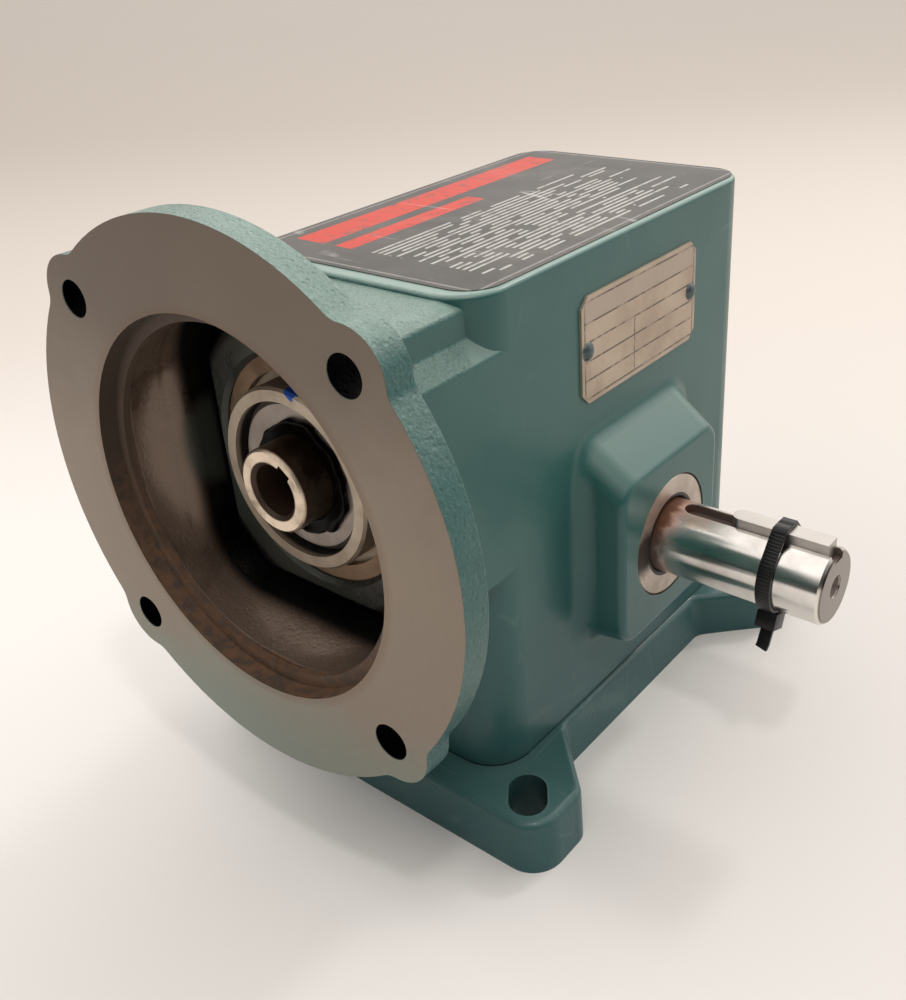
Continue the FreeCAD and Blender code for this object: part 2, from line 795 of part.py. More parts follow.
def make_worm_shaft():
    # Worm cut on a shaft whose motor end is a hollow quill with a keyway.
    collar_end_y = input_shoulder_y + quill_collar_width
    seat_radius = input_bearing_bore - press_clearance
    groove_radius = input_bearing_bore - shaft_snap_grip
    rear_seat = rear_bearing_bore - press_clearance
    thread_end = worm_half_length + worm_runout
    core_radius = worm_root_radius - thread_overlap
    shaft = turned_on_worm([
        (quill_end_y, 0), (quill_end_y, quill_radius - quill_chamfer),
        (quill_end_y + quill_chamfer, quill_radius), (quill_step_y, quill_radius),
        (quill_step_y, seat_radius), (shaft_snap_y, seat_radius), (shaft_snap_y, groove_radius),
        (input_bearing_y, groove_radius), (input_bearing_y, seat_radius), (input_shoulder_y, seat_radius),
        (input_shoulder_y, quill_collar_radius), (collar_end_y, quill_collar_radius),
        (collar_end_y, worm_neck_radius), (-thread_end, worm_neck_radius),
        (-worm_half_length, core_radius), (worm_half_length, core_radius),
        (thread_end, worm_tail_radius), (rear_bearing_y, worm_tail_radius), (rear_bearing_y, rear_seat),
        (worm_end_y - quill_chamfer, rear_seat), (worm_end_y, rear_seat - quill_chamfer), (worm_end_y, 0)])
    bore_end_y = quill_end_y + quill_bore_depth
    tip_y = bore_end_y + quill_bore_radius * math.tan(math.radians(drill_tip_angle))
    bore = turned_on_worm([
        (quill_end_y, 0), (quill_end_y, quill_bore_radius + quill_bore_chamfer),
        (quill_end_y + quill_bore_chamfer, quill_bore_radius), (bore_end_y, quill_bore_radius), (tip_y, 0)])
    keyway = Part.makeBox(quill_key_width, quill_bore_depth, quill_key_reach,
                          V(-quill_key_width / 2, quill_end_y, input_height))
    keyway.rotate(V(0, 0, input_height), V(0, 1, 0), quill_key_turn)
    return shaft.fuse(make_thread()).cut([bore, keyway])


def flank_point(offset, drop, side):
    # Point (y, z) of the wheel flank, from the wheel axis, that meets the thread at one depth.
    reach = math.hypot(offset, drop)
    half_space = lead / 4 + flank_clearance - (reach - worm_pitch_radius) * math.tan(pressure_angle)
    flank = side * half_space - module / 2 * math.atan2(offset, drop)
    slope = module / 2 * offset / reach**2 - side * math.tan(pressure_angle) * drop / reach
    along = (worm_pitch_radius - drop) / slope
    up = centre_distance - drop
    turn = (flank - along) / wheel_pitch_radius
    return (along * math.cos(turn) + up * math.sin(turn), up * math.cos(turn) - along * math.sin(turn))


def tip_drop(offset, side, tip_radius):
    # Depth below the worm axis at which a flank reaches the tip radius of its section.
    low = 0.0
    high = math.sqrt(worm_outer_radius**2 - offset**2)
    while high - low > 1e-6:
        middle = (low + high) / 2
        if math.hypot(*flank_point(offset, middle, side)) > tip_radius:
            low = middle
        else:
            high = middle
    return high


def tooth_space(offset):
    # Radii and angles of one tooth space: both flanks from tip to root.
    deep = math.sqrt(worm_outer_radius**2 - offset**2)
    throat = worm_root_radius + tip_clearance
    tip_radius = wheel_rim_radius
    if abs(offset) < throat:
        tip_radius = min(wheel_rim_radius, centre_distance - math.sqrt(throat**2 - offset**2))
    bottom = worm_outer_radius + tip_clearance
    root_radius = centre_distance - math.sqrt(bottom**2 - offset**2)
    flanks = []
    for side in (-1, 1):
        shallow = tip_drop(offset, side, tip_radius)
        drops = [shallow + (deep - shallow) * step / (flank_points - 1) for step in range(flank_points)]
        points = [flank_point(offset, drop, side) for drop in drops]
        polar = [(math.hypot(y, z), math.atan2(y, z)) for y, z in points]
        polar[0] = (tip_radius, polar[0][1])
        polar.append((root_radius, polar[-1][1]))
        flanks.append(polar)
    return flanks


def wheel_section(offset):
    # Closed outline of the whole wheel at one distance from its middle plane.
    left, right = tooth_space(offset)
    pitch = 2 * math.pi / wheel_teeth

    def at(radius, angle):
        return V(offset, radius * math.sin(angle), output_height + radius * math.cos(angle))

    def flank_curve(polar, turn):
        curve = Part.BSplineCurve()
        curve.interpolate([at(radius, angle + turn) for radius, angle in polar])
        return curve.toShape()

    def arc(first, last, turn):
        middle = (first[1] + last[1]) / 2
        radius = first[0]
        start, half_way, end = [at(radius, angle + turn) for angle in (first[1], middle, last[1])]
        return Part.Arc(start, half_way, end).toShape()

    next_left = (left[0][0], left[0][1] + pitch)
    edges = []
    for tooth in range(wheel_teeth):
        turn = tooth * pitch
        edges.append(flank_curve(left, turn))
        edges.append(arc(left[-1], right[-1], turn))
        edges.append(flank_curve(right[::-1], turn))
        edges.append(arc(right[0], next_left, turn))
    return Part.Wire(edges)


def make_worm_wheel():
    # Throated wheel rim whose teeth are generated from the worm thread, section by section.
    step = wheel_face_width / (wheel_sections - 1)
    sections = [wheel_section(-wheel_half_width + step * index) for index in range(wheel_sections)]
    blank = Part.makeLoft(sections, True, False)
    bore = output_ring(hub_radius, 0, -wheel_half_width, wheel_half_width)
    return blank.cut(bore)


def wheel_key_box(margin):
    height = wheel_key_height + 2 * margin
    bottom = output_height + wheel_seat_radius - height / 2
    length = wheel_key_length + 2 * margin
    width = wheel_key_width + 2 * margin
    return Part.makeBox(length, width, height, V(-length / 2, -width / 2, bottom))


def make_wheel_hub():
    rim_inner = hub_radius - hub_rim_wall
    bore = wheel_seat_radius + press_clearance
    outer = hub_radius - press_clearance
    hub = turned_on_output([
        (-hub_half_length, bore), (hub_half_length, bore), (hub_half_length, hub_core_radius),
        (hub_web_half, hub_core_radius), (hub_web_half, rim_inner), (wheel_half_width, rim_inner),
        (wheel_half_width, outer), (-wheel_half_width, outer), (-wheel_half_width, rim_inner),
        (-hub_web_half, rim_inner), (-hub_web_half, hub_core_radius), (-hub_half_length, hub_core_radius)])
    seat = wheel_key_box(press_clearance)
    through = seat.copy()
    through.translate(V(hub_half_length, 0, 0))
    return hub.cut([seat, through])


def make_wheel_spacer():
    bore = wheel_seat_radius + press_clearance
    return output_ring(wheel_seat_radius + spacer_wall, bore, -cone_inner_x, -hub_half_length)


def output_key_solid(start, finish, half, bottom, top):
    # The key or its seat: a round inner end and a square outer end.
    upper = V(start + half, half, bottom)
    lower = V(start + half, -half, bottom)
    far_lower = V(finish, -half, bottom)
    far_upper = V(finish, half, bottom)
    edges = [
        Part.Arc(upper, V(start, 0, bottom), lower).toShape(),
        Part.makeLine(lower, far_lower), Part.makeLine(far_lower, far_upper), Part.makeLine(far_upper, upper)]
    return extruded(Part.Wire(edges), V(0, 0, top - bottom))


def make_output_shaft():
    seat = output_bearing_bore - press_clearance
    left_end = -cone_outer_x - shaft_end_gap
    seat_left = -cone_inner_x + spacer_overlap
    collar_end = hub_half_length + shaft_collar_width
    shaft = turned_on_output([
        (left_end, 0), (left_end, seat - output_end_chamfer), (left_end + output_end_chamfer, seat),
        (seat_left, seat), (seat_left, wheel_seat_radius), (hub_half_length, wheel_seat_radius),
        (hub_half_length, shaft_collar_radius), (collar_end, shaft_collar_radius),
        (collar_end, wheel_seat_radius), (cone_inner_x, wheel_seat_radius), (cone_inner_x, seat),
        (cone_outer_x + shaft_end_gap, seat), (cone_outer_x + 2 * shaft_end_gap, output_radius),
        (output_reach - output_end_chamfer, output_radius),
        (output_reach, output_radius - output_end_chamfer), (output_reach, 0)])
    seat_bottom = output_height + key_seat_radius
    key_seat = output_key_solid(key_seat_start, output_reach, key_width / 2 + press_clearance,
                                seat_bottom, output_height + output_radius)
    centre_hole = turned_on_output([
        (output_reach, 0), (output_reach, 2 * centre_hole_radius),
        (output_reach - centre_hole_radius * math.sqrt(3), centre_hole_radius),
        (output_reach - 4 * centre_hole_radius, centre_hole_radius),
        (output_reach - 5 * centre_hole_radius, 0)])
    return shaft.cut([key_seat, wheel_key_box(press_clearance), centre_hole])


def make_output_key():
    bottom = output_height + key_seat_radius
    return output_key_solid(key_start, key_end, key_width / 2, bottom, output_height + key_top_radius)


def roller_point(along, side, gap):
    # Point (x, radius) on the line a gap outside the rollers, towards the cup or the cone.
    radius = roller_radius * (roller_apex - along) / roller_apex
    offset = side * (radius + gap) if side else gap
    x = roller_middle_x + along * math.cos(roller_tilt) + offset * math.sin(roller_tilt)
    return x, roller_pitch_radius - along * math.sin(roller_tilt) + offset * math.cos(roller_tilt)


def race_radius(x, side):
    # Radius of the cup or cone raceway at one place along the shaft.
    first = roller_point(-roller_length / 2, side, race_clearance)
    last = roller_point(roller_length / 2, side, race_clearance)
    return first[1] + (last[1] - first[1]) * (x - first[0]) / (last[0] - first[0])


def make_bearing_cup():
    outer = output_bearing_radius - press_clearance
    return turned_on_output([
        (cup_inner_x, race_radius(cup_inner_x, 1)), (cup_outer_x, race_radius(cup_outer_x, 1)),
        (cup_outer_x, outer - bearing_chamfer), (cup_outer_x - bearing_chamfer, outer), (cup_inner_x, outer)])


def make_bearing_cone():
    large_x = roller_point(-roller_length / 2, -1, 0)[0] - cone_rib_gap
    small_x = roller_point(roller_length / 2, 0, 0)[0] + cone_rib_gap
    large_race = race_radius(large_x, -1)
    small_race = race_radius(small_x, -1)
    return turned_on_output([
        (cone_inner_x + bearing_chamfer, output_bearing_bore), (cone_outer_x, output_bearing_bore),
        (cone_outer_x, small_race + cone_small_rib), (small_x, small_race + cone_small_rib),
        (small_x, small_race), (large_x, large_race), (large_x, large_race + cone_large_rib),
        (cone_inner_x, large_race + cone_large_rib), (cone_inner_x, output_bearing_bore + bearing_chamfer)])


def roller_solid(margin):
    # One tapered roller, or its cage pocket when a margin is given.
    half = roller_length / 2 + margin
    large = roller_radius * (roller_apex + half) / roller_apex + margin
    small = roller_radius * (roller_apex - half) / roller_apex + margin
    x, radius = roller_point(-half, 0, 0)
    axis = V(math.cos(roller_tilt), 0, -math.sin(roller_tilt))
    return Part.makeCone(large, small, 2 * half, V(x, 0, output_height + radius), axis)


def make_rollers():
    return Part.makeCompound(around_output(roller_solid(0), roller_count))


def make_roller_cage():
    half = roller_length / 2 + cage_clearance + roller_cage_rim
    inner = roller_cage_offset
    outer = roller_cage_offset + roller_cage_thickness
    shell = turned_on_output([roller_point(-half, 0, inner), roller_point(half, 0, inner),
                              roller_point(half, 0, outer), roller_point(-half, 0, outer)])
    return shell.cut(around_output(roller_solid(cage_clearance), roller_count))


def make_ball_bearing(bore, outer, start, width, ball_radius, count):
    # Outer ring, inner ring, balls and cage of a deep-groove bearing on the worm axis.
    pitch = (bore + outer) / 2
    middle = start + width / 2
    end = start + width
    land = ball_radius * ball_land_share
    outside = outer - press_clearance
    inside = bore + press_clearance
    edge = bearing_chamfer
    groove = Part.makeTorus(pitch, ball_radius + race_clearance, V(0, middle, input_height), V(0, 1, 0))
    outer_ring = turned_on_worm([
        (start, pitch + land), (end, pitch + land), (end, outside - edge), (end - edge, outside),
        (start + edge, outside), (start, outside - edge)]).cut(groove)
    inner_ring = turned_on_worm([
        (start, pitch - land), (end, pitch - land), (end, inside + edge), (end - edge, inside),
        (start + edge, inside), (start, inside + edge)]).cut(groove)
    ball = Part.makeSphere(ball_radius, V(0, middle, input_height + pitch))
    pocket = Part.makeSphere(ball_radius + cage_clearance, V(0, middle, input_height + pitch))
    half_cage = ball_radius * cage_thickness_share / 2
    half_run = ball_radius + cage_clearance + cage_rim
    ring = worm_ring(pitch + half_cage, pitch - half_cage, middle - half_run, middle + half_run)
    cage = ring.cut(around_worm(pocket, count))
    return outer_ring, inner_ring, Part.makeCompound(around_worm(ball, count)), cage


def seal_profiles(front, inward, width, outer, shaft_radius, opening, chamfer):
    # Section outlines of a shaft seal: pressed steel case and rubber lip with a dust lip in front.
    window = shaft_radius + opening
    rim = outer - press_clearance
    wall = rim - seal_steel
    back = front + inward * width
    slant = chamfer + seal_steel / 2
    case = [(front, rim - chamfer), (front + inward * chamfer, rim), (back, rim), (back, wall),
            (front + inward * slant, wall), (front + inward * seal_steel, rim - slant),
            (front + inward * seal_steel, window), (front, window)]
    edge = shaft_radius + running_clearance
    hollow = shaft_radius + seal_lip_root
    main = front + inward * width * main_lip_share
    seat = window - press_clearance
    lip = [(front, seat), (front, hollow), (front + inward * seal_lip_half, edge),
           (front + inward * 2 * seal_lip_half, hollow), (main - inward * seal_lip_half, hollow),
           (main, edge), (main + inward * seal_lip_half, hollow), (main + inward * seal_lip_half, seat)]
    return case, lip


def make_seal_carrier():
    # Sleeve that holds the input seal, with a flange that clamps the input bearing.
    outer = input_bearing_radius - press_clearance
    groove = outer - o_ring_thickness - press_clearance
    half_groove = (o_ring_thickness + o_ring_play) / 2
    middle = carrier_y + carrier_flange_width / 2
    relief = (input_bearing_bore + input_bearing_radius) / 2 + input_ball_radius * ball_land_share
    seal_end_y = input_seal_y + input_seal_width
    chamfer = carrier_edge_chamfer
    return turned_on_worm([
        (sleeve_front_y, input_seal_radius), (sleeve_front_y, carrier_sleeve_radius - chamfer),
        (sleeve_front_y + chamfer, carrier_sleeve_radius), (carrier_y, carrier_sleeve_radius),
        (carrier_y, outer), (middle - half_groove, outer), (middle - half_groove, groove),
        (middle + half_groove, groove), (middle + half_groove, outer), (input_bearing_y, outer),
        (input_bearing_y, relief), (input_bearing_y - carrier_relief, relief),
        (input_bearing_y - carrier_relief, carrier_inner_radius), (seal_end_y, carrier_inner_radius),
        (seal_end_y, input_seal_radius)])


def make_carrier_o_ring():
    middle = carrier_y + carrier_flange_width / 2
    radius = o_ring_thickness / 2
    ring_radius = input_bearing_radius - press_clearance - radius
    return Part.makeTorus(ring_radius, radius - press_clearance, V(0, middle, input_height), V(0, 1, 0))


def open_ring(outer, inner, start, end, gap_angle, middle_angle):
    # Retaining ring with a gap and an eye near each of its ends.
    ring = worm_ring(outer, inner, start, end)
    half = math.radians(gap_angle / 2)
    turn = math.radians(middle_angle)
    far = 2 * outer
    corners = [V(0, start, input_height)]
    for angle in (turn - half, turn + half):
        corners.append(V(far * math.cos(angle), start, input_height + far * math.sin(angle)))
    wedge = extruded(Part.makePolygon(corners + corners[:1]), V(0, end - start, 0))
    eyes = []
    eye_circle = (outer + inner) / 2
    eye_turn = half + 2 * snap_ring_eye_radius / eye_circle
    for angle in (turn - eye_turn, turn + eye_turn):
        place = V(eye_circle * math.cos(angle), start, input_height + eye_circle * math.sin(angle))
        eye_radius = min(snap_ring_eye_radius, (outer - inner) / 4)
        eyes.append(Part.makeCylinder(eye_radius, end - start, place, V(0, 1, 0)))
    return ring.cut([wedge] + eyes)


def make_input_snap_ring():
    outer = input_snap_radius - press_clearance
    return open_ring(outer, snap_ring_inner_radius, snap_ring_y + press_clearance,
                     carrier_y - press_clearance, snap_ring_gap_angle, 0)


def make_quill_snap_ring():
    inner = input_bearing_bore - shaft_snap_grip + press_clearance
    outer = input_bearing_bore + shaft_snap_rise
    return open_ring(outer, inner, shaft_snap_y + press_clearance, input_bearing_y - press_clearance,
                     snap_ring_gap_angle, -90)


def make_rear_bore_plug():
    # Pressed sheet cap that closes the rear bearing bore, open to the outside.
    outer = rear_bearing_radius - press_clearance
    wall = outer - rear_plug_sheet
    rim_y = rear_plug_y + rear_plug_width
    return turned_on_worm([
        (rear_plug_y, 0), (rear_plug_y, outer - rear_plug_sheet / 2),
        (rear_plug_y + rear_plug_sheet / 2, outer), (rim_y, outer), (rim_y, wall),
        (rear_plug_y + rear_plug_sheet, wall), (rear_plug_y + rear_plug_sheet, 0)])


def make_side_cover():
    # Bolted cover with a spigot, a cored pocket and the seat of the left bearing.
    spigot = cover_opening_radius - press_clearance
    spigot_x = cover_face_x - cover_spigot_length
    pocket = spigot - cover_spigot_wall
    boss = output_bearing_radius + cover_seat_wall
    dome_x = cover_outer_x + cover_dome_rise
    end_x = cup_outer_x + cover_end_gap
    cover = turned_on_output([
        (cup_inner_x, output_bearing_radius), (cup_inner_x, boss), (cover_face_x, boss),
        (cover_face_x, pocket), (spigot_x, pocket), (spigot_x, spigot), (cover_face_x, spigot),
        (cover_face_x, cover_pad_radius),
        (cover_outer_x, cover_pad_radius), (cover_outer_x, cover_dome_radius + cover_dome_rise / 2),
        (dome_x, cover_dome_radius), (dome_x, 0), (end_x, 0), (end_x, seal_stop_radius),
        (cup_outer_x, seal_stop_radius), (cup_outer_x, output_bearing_radius)])
    holes = []
    for y, z in cover_bolt_places():
        holes.append(Part.makeCylinder(screw_radius + screw_hole_clearance, cover_thickness,
                                       V(cover_face_x, y, z), V(1, 0, 0)))
    rim = []
    for edge in cover.Edges:
        box = edge.BoundBox
        at_outer_face = box.XMin > cover_outer_x - 0.01 and box.XMax < cover_outer_x + 0.01
        if at_outer_face and box.ZMax > output_height + cover_pad_radius - 0.01:
            rim.append(edge)
    return mirrored_x(cover.makeFillet(cover_edge_round, rim).cut(holes))


def make_cover_gasket():
    gasket = output_ring(cover_pad_radius, cover_opening_radius, -cover_face_x, -cover_seat_x)
    holes = []
    for y, z in cover_bolt_places():
        holes.append(Part.makeCylinder(screw_radius + screw_hole_clearance, gasket_thickness,
                                       V(-cover_face_x, y, z), V(1, 0, 0)))
    return gasket.cut(holes)


def make_cover_screws():
    # Hexagon screws with a washer face under each head.
    screws = []
    for y, z in cover_bolt_places():
        seat = V(-cover_outer_x, y, z)
        shank_length = cover_outer_x - cover_seat_x + cover_screw_depth
        shank = Part.makeCylinder(shank_radius, shank_length, seat, V(1, 0, 0))
        washer_radius = hex_across_flats / 2 - screw_washer_margin
        washer = Part.makeCylinder(washer_radius, screw_washer_height, seat, V(-1, 0, 0))
        under_head = -cover_outer_x - screw_washer_height
        outline = hexagon(hex_across_flats, lambda u, v: V(under_head, y + u, z + v))
        head = extruded(outline, V(-hex_head_height, 0, 0))
        crown = Part.makeCone(hex_across_flats / 2 + hex_head_height, hex_across_flats / 2, hex_head_height,
                              V(under_head, y, z), V(-1, 0, 0))
        screws.append(head.common(crown).fuse([washer, shank]))
    return Part.makeCompound(screws)


def make_name_plate():
    bottom = input_height + plate_bottom_rise
    corners = rectangle_corners(plate_start_y, plate_end_y, bottom, bottom + plate_height, 0)
    plate = extruded(rounded_outline(corners, lambda u, v: V(half_width, u, v)), V(plate_thickness, 0, 0))
    edges = [edge for edge in plate.Edges if edge.BoundBox.XLength > plate_thickness / 2]
    holes = []
    for y, z in plate_pin_places():
        holes.append(Part.makeCylinder(plate_pin_radius, plate_thickness, V(half_width, y, z), V(1, 0, 0)))
    return plate.makeChamfer(plate_corner, edges).cut(holes)


def make_name_plate_pins():
    # Drive pins with low domed heads.
    pins = []
    dome_radius = (plate_pin_head_radius**2 + plate_pin_head_height**2) / (2 * plate_pin_head_height)
    head_x = half_width + plate_thickness
    for y, z in plate_pin_places():
        shank = Part.makeCylinder(plate_pin_radius - press_clearance, plate_pin_length + plate_thickness,
                                  V(half_width - plate_pin_length, y, z), V(1, 0, 0))
        dome = Part.makeSphere(dome_radius, V(head_x + plate_pin_head_height - dome_radius, y, z))
        keep = Part.makeCylinder(plate_pin_head_radius, plate_pin_head_height, V(head_x, y, z), V(1, 0, 0))
        pins.append(dome.common(keep).fuse(shank))
    return Part.makeCompound(pins)


def make_top_label():
    corners = rectangle_corners(-half_width + label_inset, half_width - label_inset,
                                -half_length + label_front_inset, half_length - label_inset, label_corner)
    outline = rounded_outline(corners, lambda u, v: V(u, v, deck_height))
    return extruded(outline, V(0, 0, label_thickness))


def tie_loop():
    # Inside outline of the tie: straight runs from the key corners, then round the shaft.
    radius = output_radius + tie_slack
    corner_y = key_width / 2 + tie_slack
    corner_z = key_top_radius + tie_slack
    tangent = math.atan2(corner_z, corner_y) - math.acos(radius / math.hypot(corner_y, corner_z))
    start_x = tie_x - tie_width / 2

    def at(y, z):
        return V(start_x, y, output_height + z)

    right = at(radius * math.cos(tangent), radius * math.sin(tangent))
    left = at(-radius * math.cos(tangent), radius * math.sin(tangent))
    top_right = at(corner_y, corner_z)
    top_left = at(-corner_y, corner_z)
    under = Part.Arc(right, at(0, -radius), left).toShape()
    return Part.Wire([Part.makeLine(top_right, right), under, Part.makeLine(left, top_left),
                      Part.makeLine(top_left, top_right)])


def make_cable_tie():
    # Moulded strap around shaft and key, with its locking head and cut tail below.
    inner = tie_loop()
    outer = inner.makeOffset2D(tie_thickness)
    run = V(tie_width, 0, 0)
    strap = extruded(outer, run).cut(extruded(inner, run))
    head_start = output_radius + tie_slack + tie_thickness / 2
    head_width = tie_width + 2 * tie_head_wall
    head = Part.makeBox(head_width, tie_head_length, tie_head_depth,
                        V(tie_x - head_width / 2, -tie_head_length / 2, output_height + head_start))
    upright = [edge for edge in head.Edges if edge.BoundBox.ZLength > tie_head_depth / 2]
    head = head.makeFillet(tie_head_wall, upright)
    tail = Part.makeBox(tie_width, tie_thickness, tie_tail_length,
                        V(tie_x - tie_width / 2, 0, output_height + head_start + tie_head_depth))
    lock = head.fuse(tail)
    lock.rotate(V(0, 0, output_height), V(1, 0, 0), tie_head_angle - 90)
    return strap.fuse(lock).removeSplitter()


input_outer_ring, input_inner_ring, input_balls, input_cage = make_ball_bearing(
    input_bearing_bore, input_bearing_radius, input_bearing_y, input_bearing_width,
    input_ball_radius, input_ball_count)
rear_outer_ring, rear_inner_ring, rear_balls, rear_cage = make_ball_bearing(
    rear_bearing_bore, rear_bearing_radius, rear_bearing_y, rear_bearing_width,
    rear_ball_radius, rear_ball_count)
input_case, input_lip = seal_profiles(
    input_seal_y, 1, input_seal_width, input_seal_radius, quill_radius,
    input_seal_window, input_seal_chamfer)
output_case, output_lip = seal_profiles(
    boss_reach - output_seal_inset, -1, output_seal_width - output_seal_inset,
    output_seal_radius, output_radius, output_seal_window, output_seal_chamfer)
bearing_cup = make_bearing_cup()
bearing_cone = make_bearing_cone()
rollers = make_rollers()
roller_cage = make_roller_cage()

pieces = {
    "base": make_base(),
    "base_screws": make_base_screws(),
    "housing": make_housing(),
    "side_cover": make_side_cover(),
    "side_cover_gasket": make_cover_gasket(),
    "side_cover_screws": make_cover_screws(),
    "vent_plug": make_plug(vent_plug_z),
    "drain_plug": make_plug(drain_plug_z),
    "name_plate": make_name_plate(),
    "name_plate_pins": make_name_plate_pins(),
    "top_label": make_top_label(),
    "seal_carrier": make_seal_carrier(),
    "carrier_o_ring": make_carrier_o_ring(),
    "input_snap_ring": make_input_snap_ring(),
    "input_seal_case": turned_on_worm(input_case),
    "input_seal_lip": turned_on_worm(input_lip),
    "rear_bore_plug": make_rear_bore_plug(),
    "worm_shaft": make_worm_shaft(),
    "quill_snap_ring": make_quill_snap_ring(),
    "input_bearing_outer_ring": input_outer_ring,
    "input_bearing_inner_ring": input_inner_ring,
    "input_bearing_balls": input_balls,
    "input_bearing_cage": input_cage,
    "rear_bearing_outer_ring": rear_outer_ring,
    "rear_bearing_inner_ring": rear_inner_ring,
    "rear_bearing_balls": rear_balls,
    "rear_bearing_cage": rear_cage,
    "worm_wheel": make_worm_wheel(),
    "wheel_hub": make_wheel_hub(),
    "wheel_key": wheel_key_box(0),
    "wheel_spacer": make_wheel_spacer(),
    "output_shaft": make_output_shaft(),
    "output_key": make_output_key(),
    "cable_tie": make_cable_tie(),
    "output_seal_case": turned_on_output(output_case),
    "output_seal_lip": turned_on_output(output_lip),
    "right_bearing_cup": bearing_cup,
    "right_bearing_cone": bearing_cone,
    "right_bearing_rollers": rollers,
    "right_bearing_cage": roller_cage,
    "left_bearing_cup": mirrored_x(bearing_cup),
    "left_bearing_cone": mirrored_x(bearing_cone),
    "left_bearing_rollers": mirrored_x(rollers),
    "left_bearing_cage": mirrored_x(roller_cage),
}
for name, shape in pieces.items():
    size = shape.BoundBox
    print(name, shape.isValid(), len(shape.Solids), round(shape.Volume),
          round(size.XLength, 1), round(size.YLength, 1), round(size.ZLength, 1))
    shape.exportStep("parts/" + name + ".step")
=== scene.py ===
import json
import math

import bpy
from mathutils import Matrix, Vector


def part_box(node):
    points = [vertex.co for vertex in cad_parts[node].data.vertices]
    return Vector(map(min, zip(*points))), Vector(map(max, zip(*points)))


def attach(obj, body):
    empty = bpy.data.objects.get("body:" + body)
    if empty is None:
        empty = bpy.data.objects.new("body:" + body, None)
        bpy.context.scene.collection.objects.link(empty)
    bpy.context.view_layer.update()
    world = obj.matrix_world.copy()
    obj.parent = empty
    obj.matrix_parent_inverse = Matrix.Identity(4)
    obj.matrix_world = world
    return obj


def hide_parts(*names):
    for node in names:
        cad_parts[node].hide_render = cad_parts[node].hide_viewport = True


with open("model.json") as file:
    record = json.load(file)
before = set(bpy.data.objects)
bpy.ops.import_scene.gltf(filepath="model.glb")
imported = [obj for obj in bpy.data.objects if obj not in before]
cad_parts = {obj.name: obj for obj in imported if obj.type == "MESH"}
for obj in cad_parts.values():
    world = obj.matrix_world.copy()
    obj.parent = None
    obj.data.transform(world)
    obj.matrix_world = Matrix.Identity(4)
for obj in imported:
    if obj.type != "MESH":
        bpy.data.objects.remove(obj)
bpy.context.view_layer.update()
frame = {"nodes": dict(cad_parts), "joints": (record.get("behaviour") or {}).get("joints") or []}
nodes = frame["nodes"]
joints = {joint["name"]: joint for joint in frame["joints"]}
wormHeight = joints["input_spin"]["pos_m"][2]
outputHeight = joints["output_spin"]["pos_m"][2]
print("frame loaded with", len(nodes), "nodes")


# Shader helpers
def feed(tree, value, socket):
    if isinstance(value, bpy.types.NodeSocket):
        tree.links.new(value, socket)
    else:
        socket.default_value = value


def calc(tree, operation, first, second=0.0, clamp=False):
    node = tree.nodes.new("ShaderNodeMath")
    node.operation = operation
    node.use_clamp = clamp
    feed(tree, first, node.inputs[0])
    feed(tree, second, node.inputs[1])
    return node.outputs[0]


def plus(tree, first, second):
    return calc(tree, "ADD", first, second)


def minus(tree, first, second):
    return calc(tree, "SUBTRACT", first, second)


def times(tree, first, second):
    return calc(tree, "MULTIPLY", first, second)


def size(tree, value):
    return calc(tree, "ABSOLUTE", value)


def allOf(tree, *masks):
    result = masks[0]
    for mask in masks[1:]:
        result = times(tree, result, mask)
    return result


def anyOf(tree, *masks):
    result = masks[0]
    for mask in masks[1:]:
        result = calc(tree, "MAXIMUM", result, mask)
    return result


def vectorCalc(tree, operation, first, second):
    node = tree.nodes.new("ShaderNodeVectorMath")
    node.operation = operation
    feed(tree, first, node.inputs[0])
    feed(tree, second, node.inputs["Scale"] if operation == "SCALE" else node.inputs[1])
    return node.outputs["Vector" if operation in ("SUBTRACT", "SCALE") else "Value"]


def fade(tree, value, low, high):
    # 0 below low, 1 above high; low may be the larger one
    node = tree.nodes.new("ShaderNodeMapRange")
    node.interpolation_type = "SMOOTHSTEP"
    flip = low > high
    feed(tree, value, node.inputs["Value"])
    node.inputs["From Min"].default_value = high if flip else low
    node.inputs["From Max"].default_value = low if flip else high
    node.inputs["To Min"].default_value = 1.0 if flip else 0.0
    node.inputs["To Max"].default_value = 0.0 if flip else 1.0
    return node.outputs["Result"]


def under(tree, value, limit, soft):
    return fade(tree, value, limit + soft, limit)


def past(tree, value, limit, soft):
    return fade(tree, value, limit, limit + soft)


def between(tree, value, start, end, soft):
    return allOf(tree, fade(tree, value, start - soft, start), under(tree, value, end, soft))


def spread(tree, value, low, high):
    # a 0 to 1 value laid out between two numbers
    node = tree.nodes.new("ShaderNodeMapRange")
    feed(tree, value, node.inputs["Value"])
    node.inputs["To Min"].default_value = low
    node.inputs["To Max"].default_value = high
    return node.outputs["Result"]


def blendColour(tree, mask, below, over, share=1.0):
    # share is the strength of the upper colour where the mask is full
    node = tree.nodes.new("ShaderNodeMix")
    node.data_type = "RGBA"
    feed(tree, mask if share == 1.0 else times(tree, mask, share), node.inputs[0])
    feed(tree, below, node.inputs[6])
    feed(tree, over, node.inputs[7])
    return node.outputs[2]


def blendValue(tree, mask, below, over):
    node = tree.nodes.new("ShaderNodeMix")
    feed(tree, mask, node.inputs[0])
    feed(tree, below, node.inputs[2])
    feed(tree, over, node.inputs[3])
    return node.outputs[0]


def noise(tree, position, scale, detail, rough, twist=0.0):
    # settings give scale, detail, roughness and at times twist together
    node = tree.nodes.new("ShaderNodeTexNoise")
    feed(tree, position, node.inputs["Vector"])
    feed(tree, scale, node.inputs["Scale"])
    node.inputs["Detail"].default_value = detail
    node.inputs["Roughness"].default_value = rough
    node.inputs["Distortion"].default_value = twist
    return node.outputs[0]


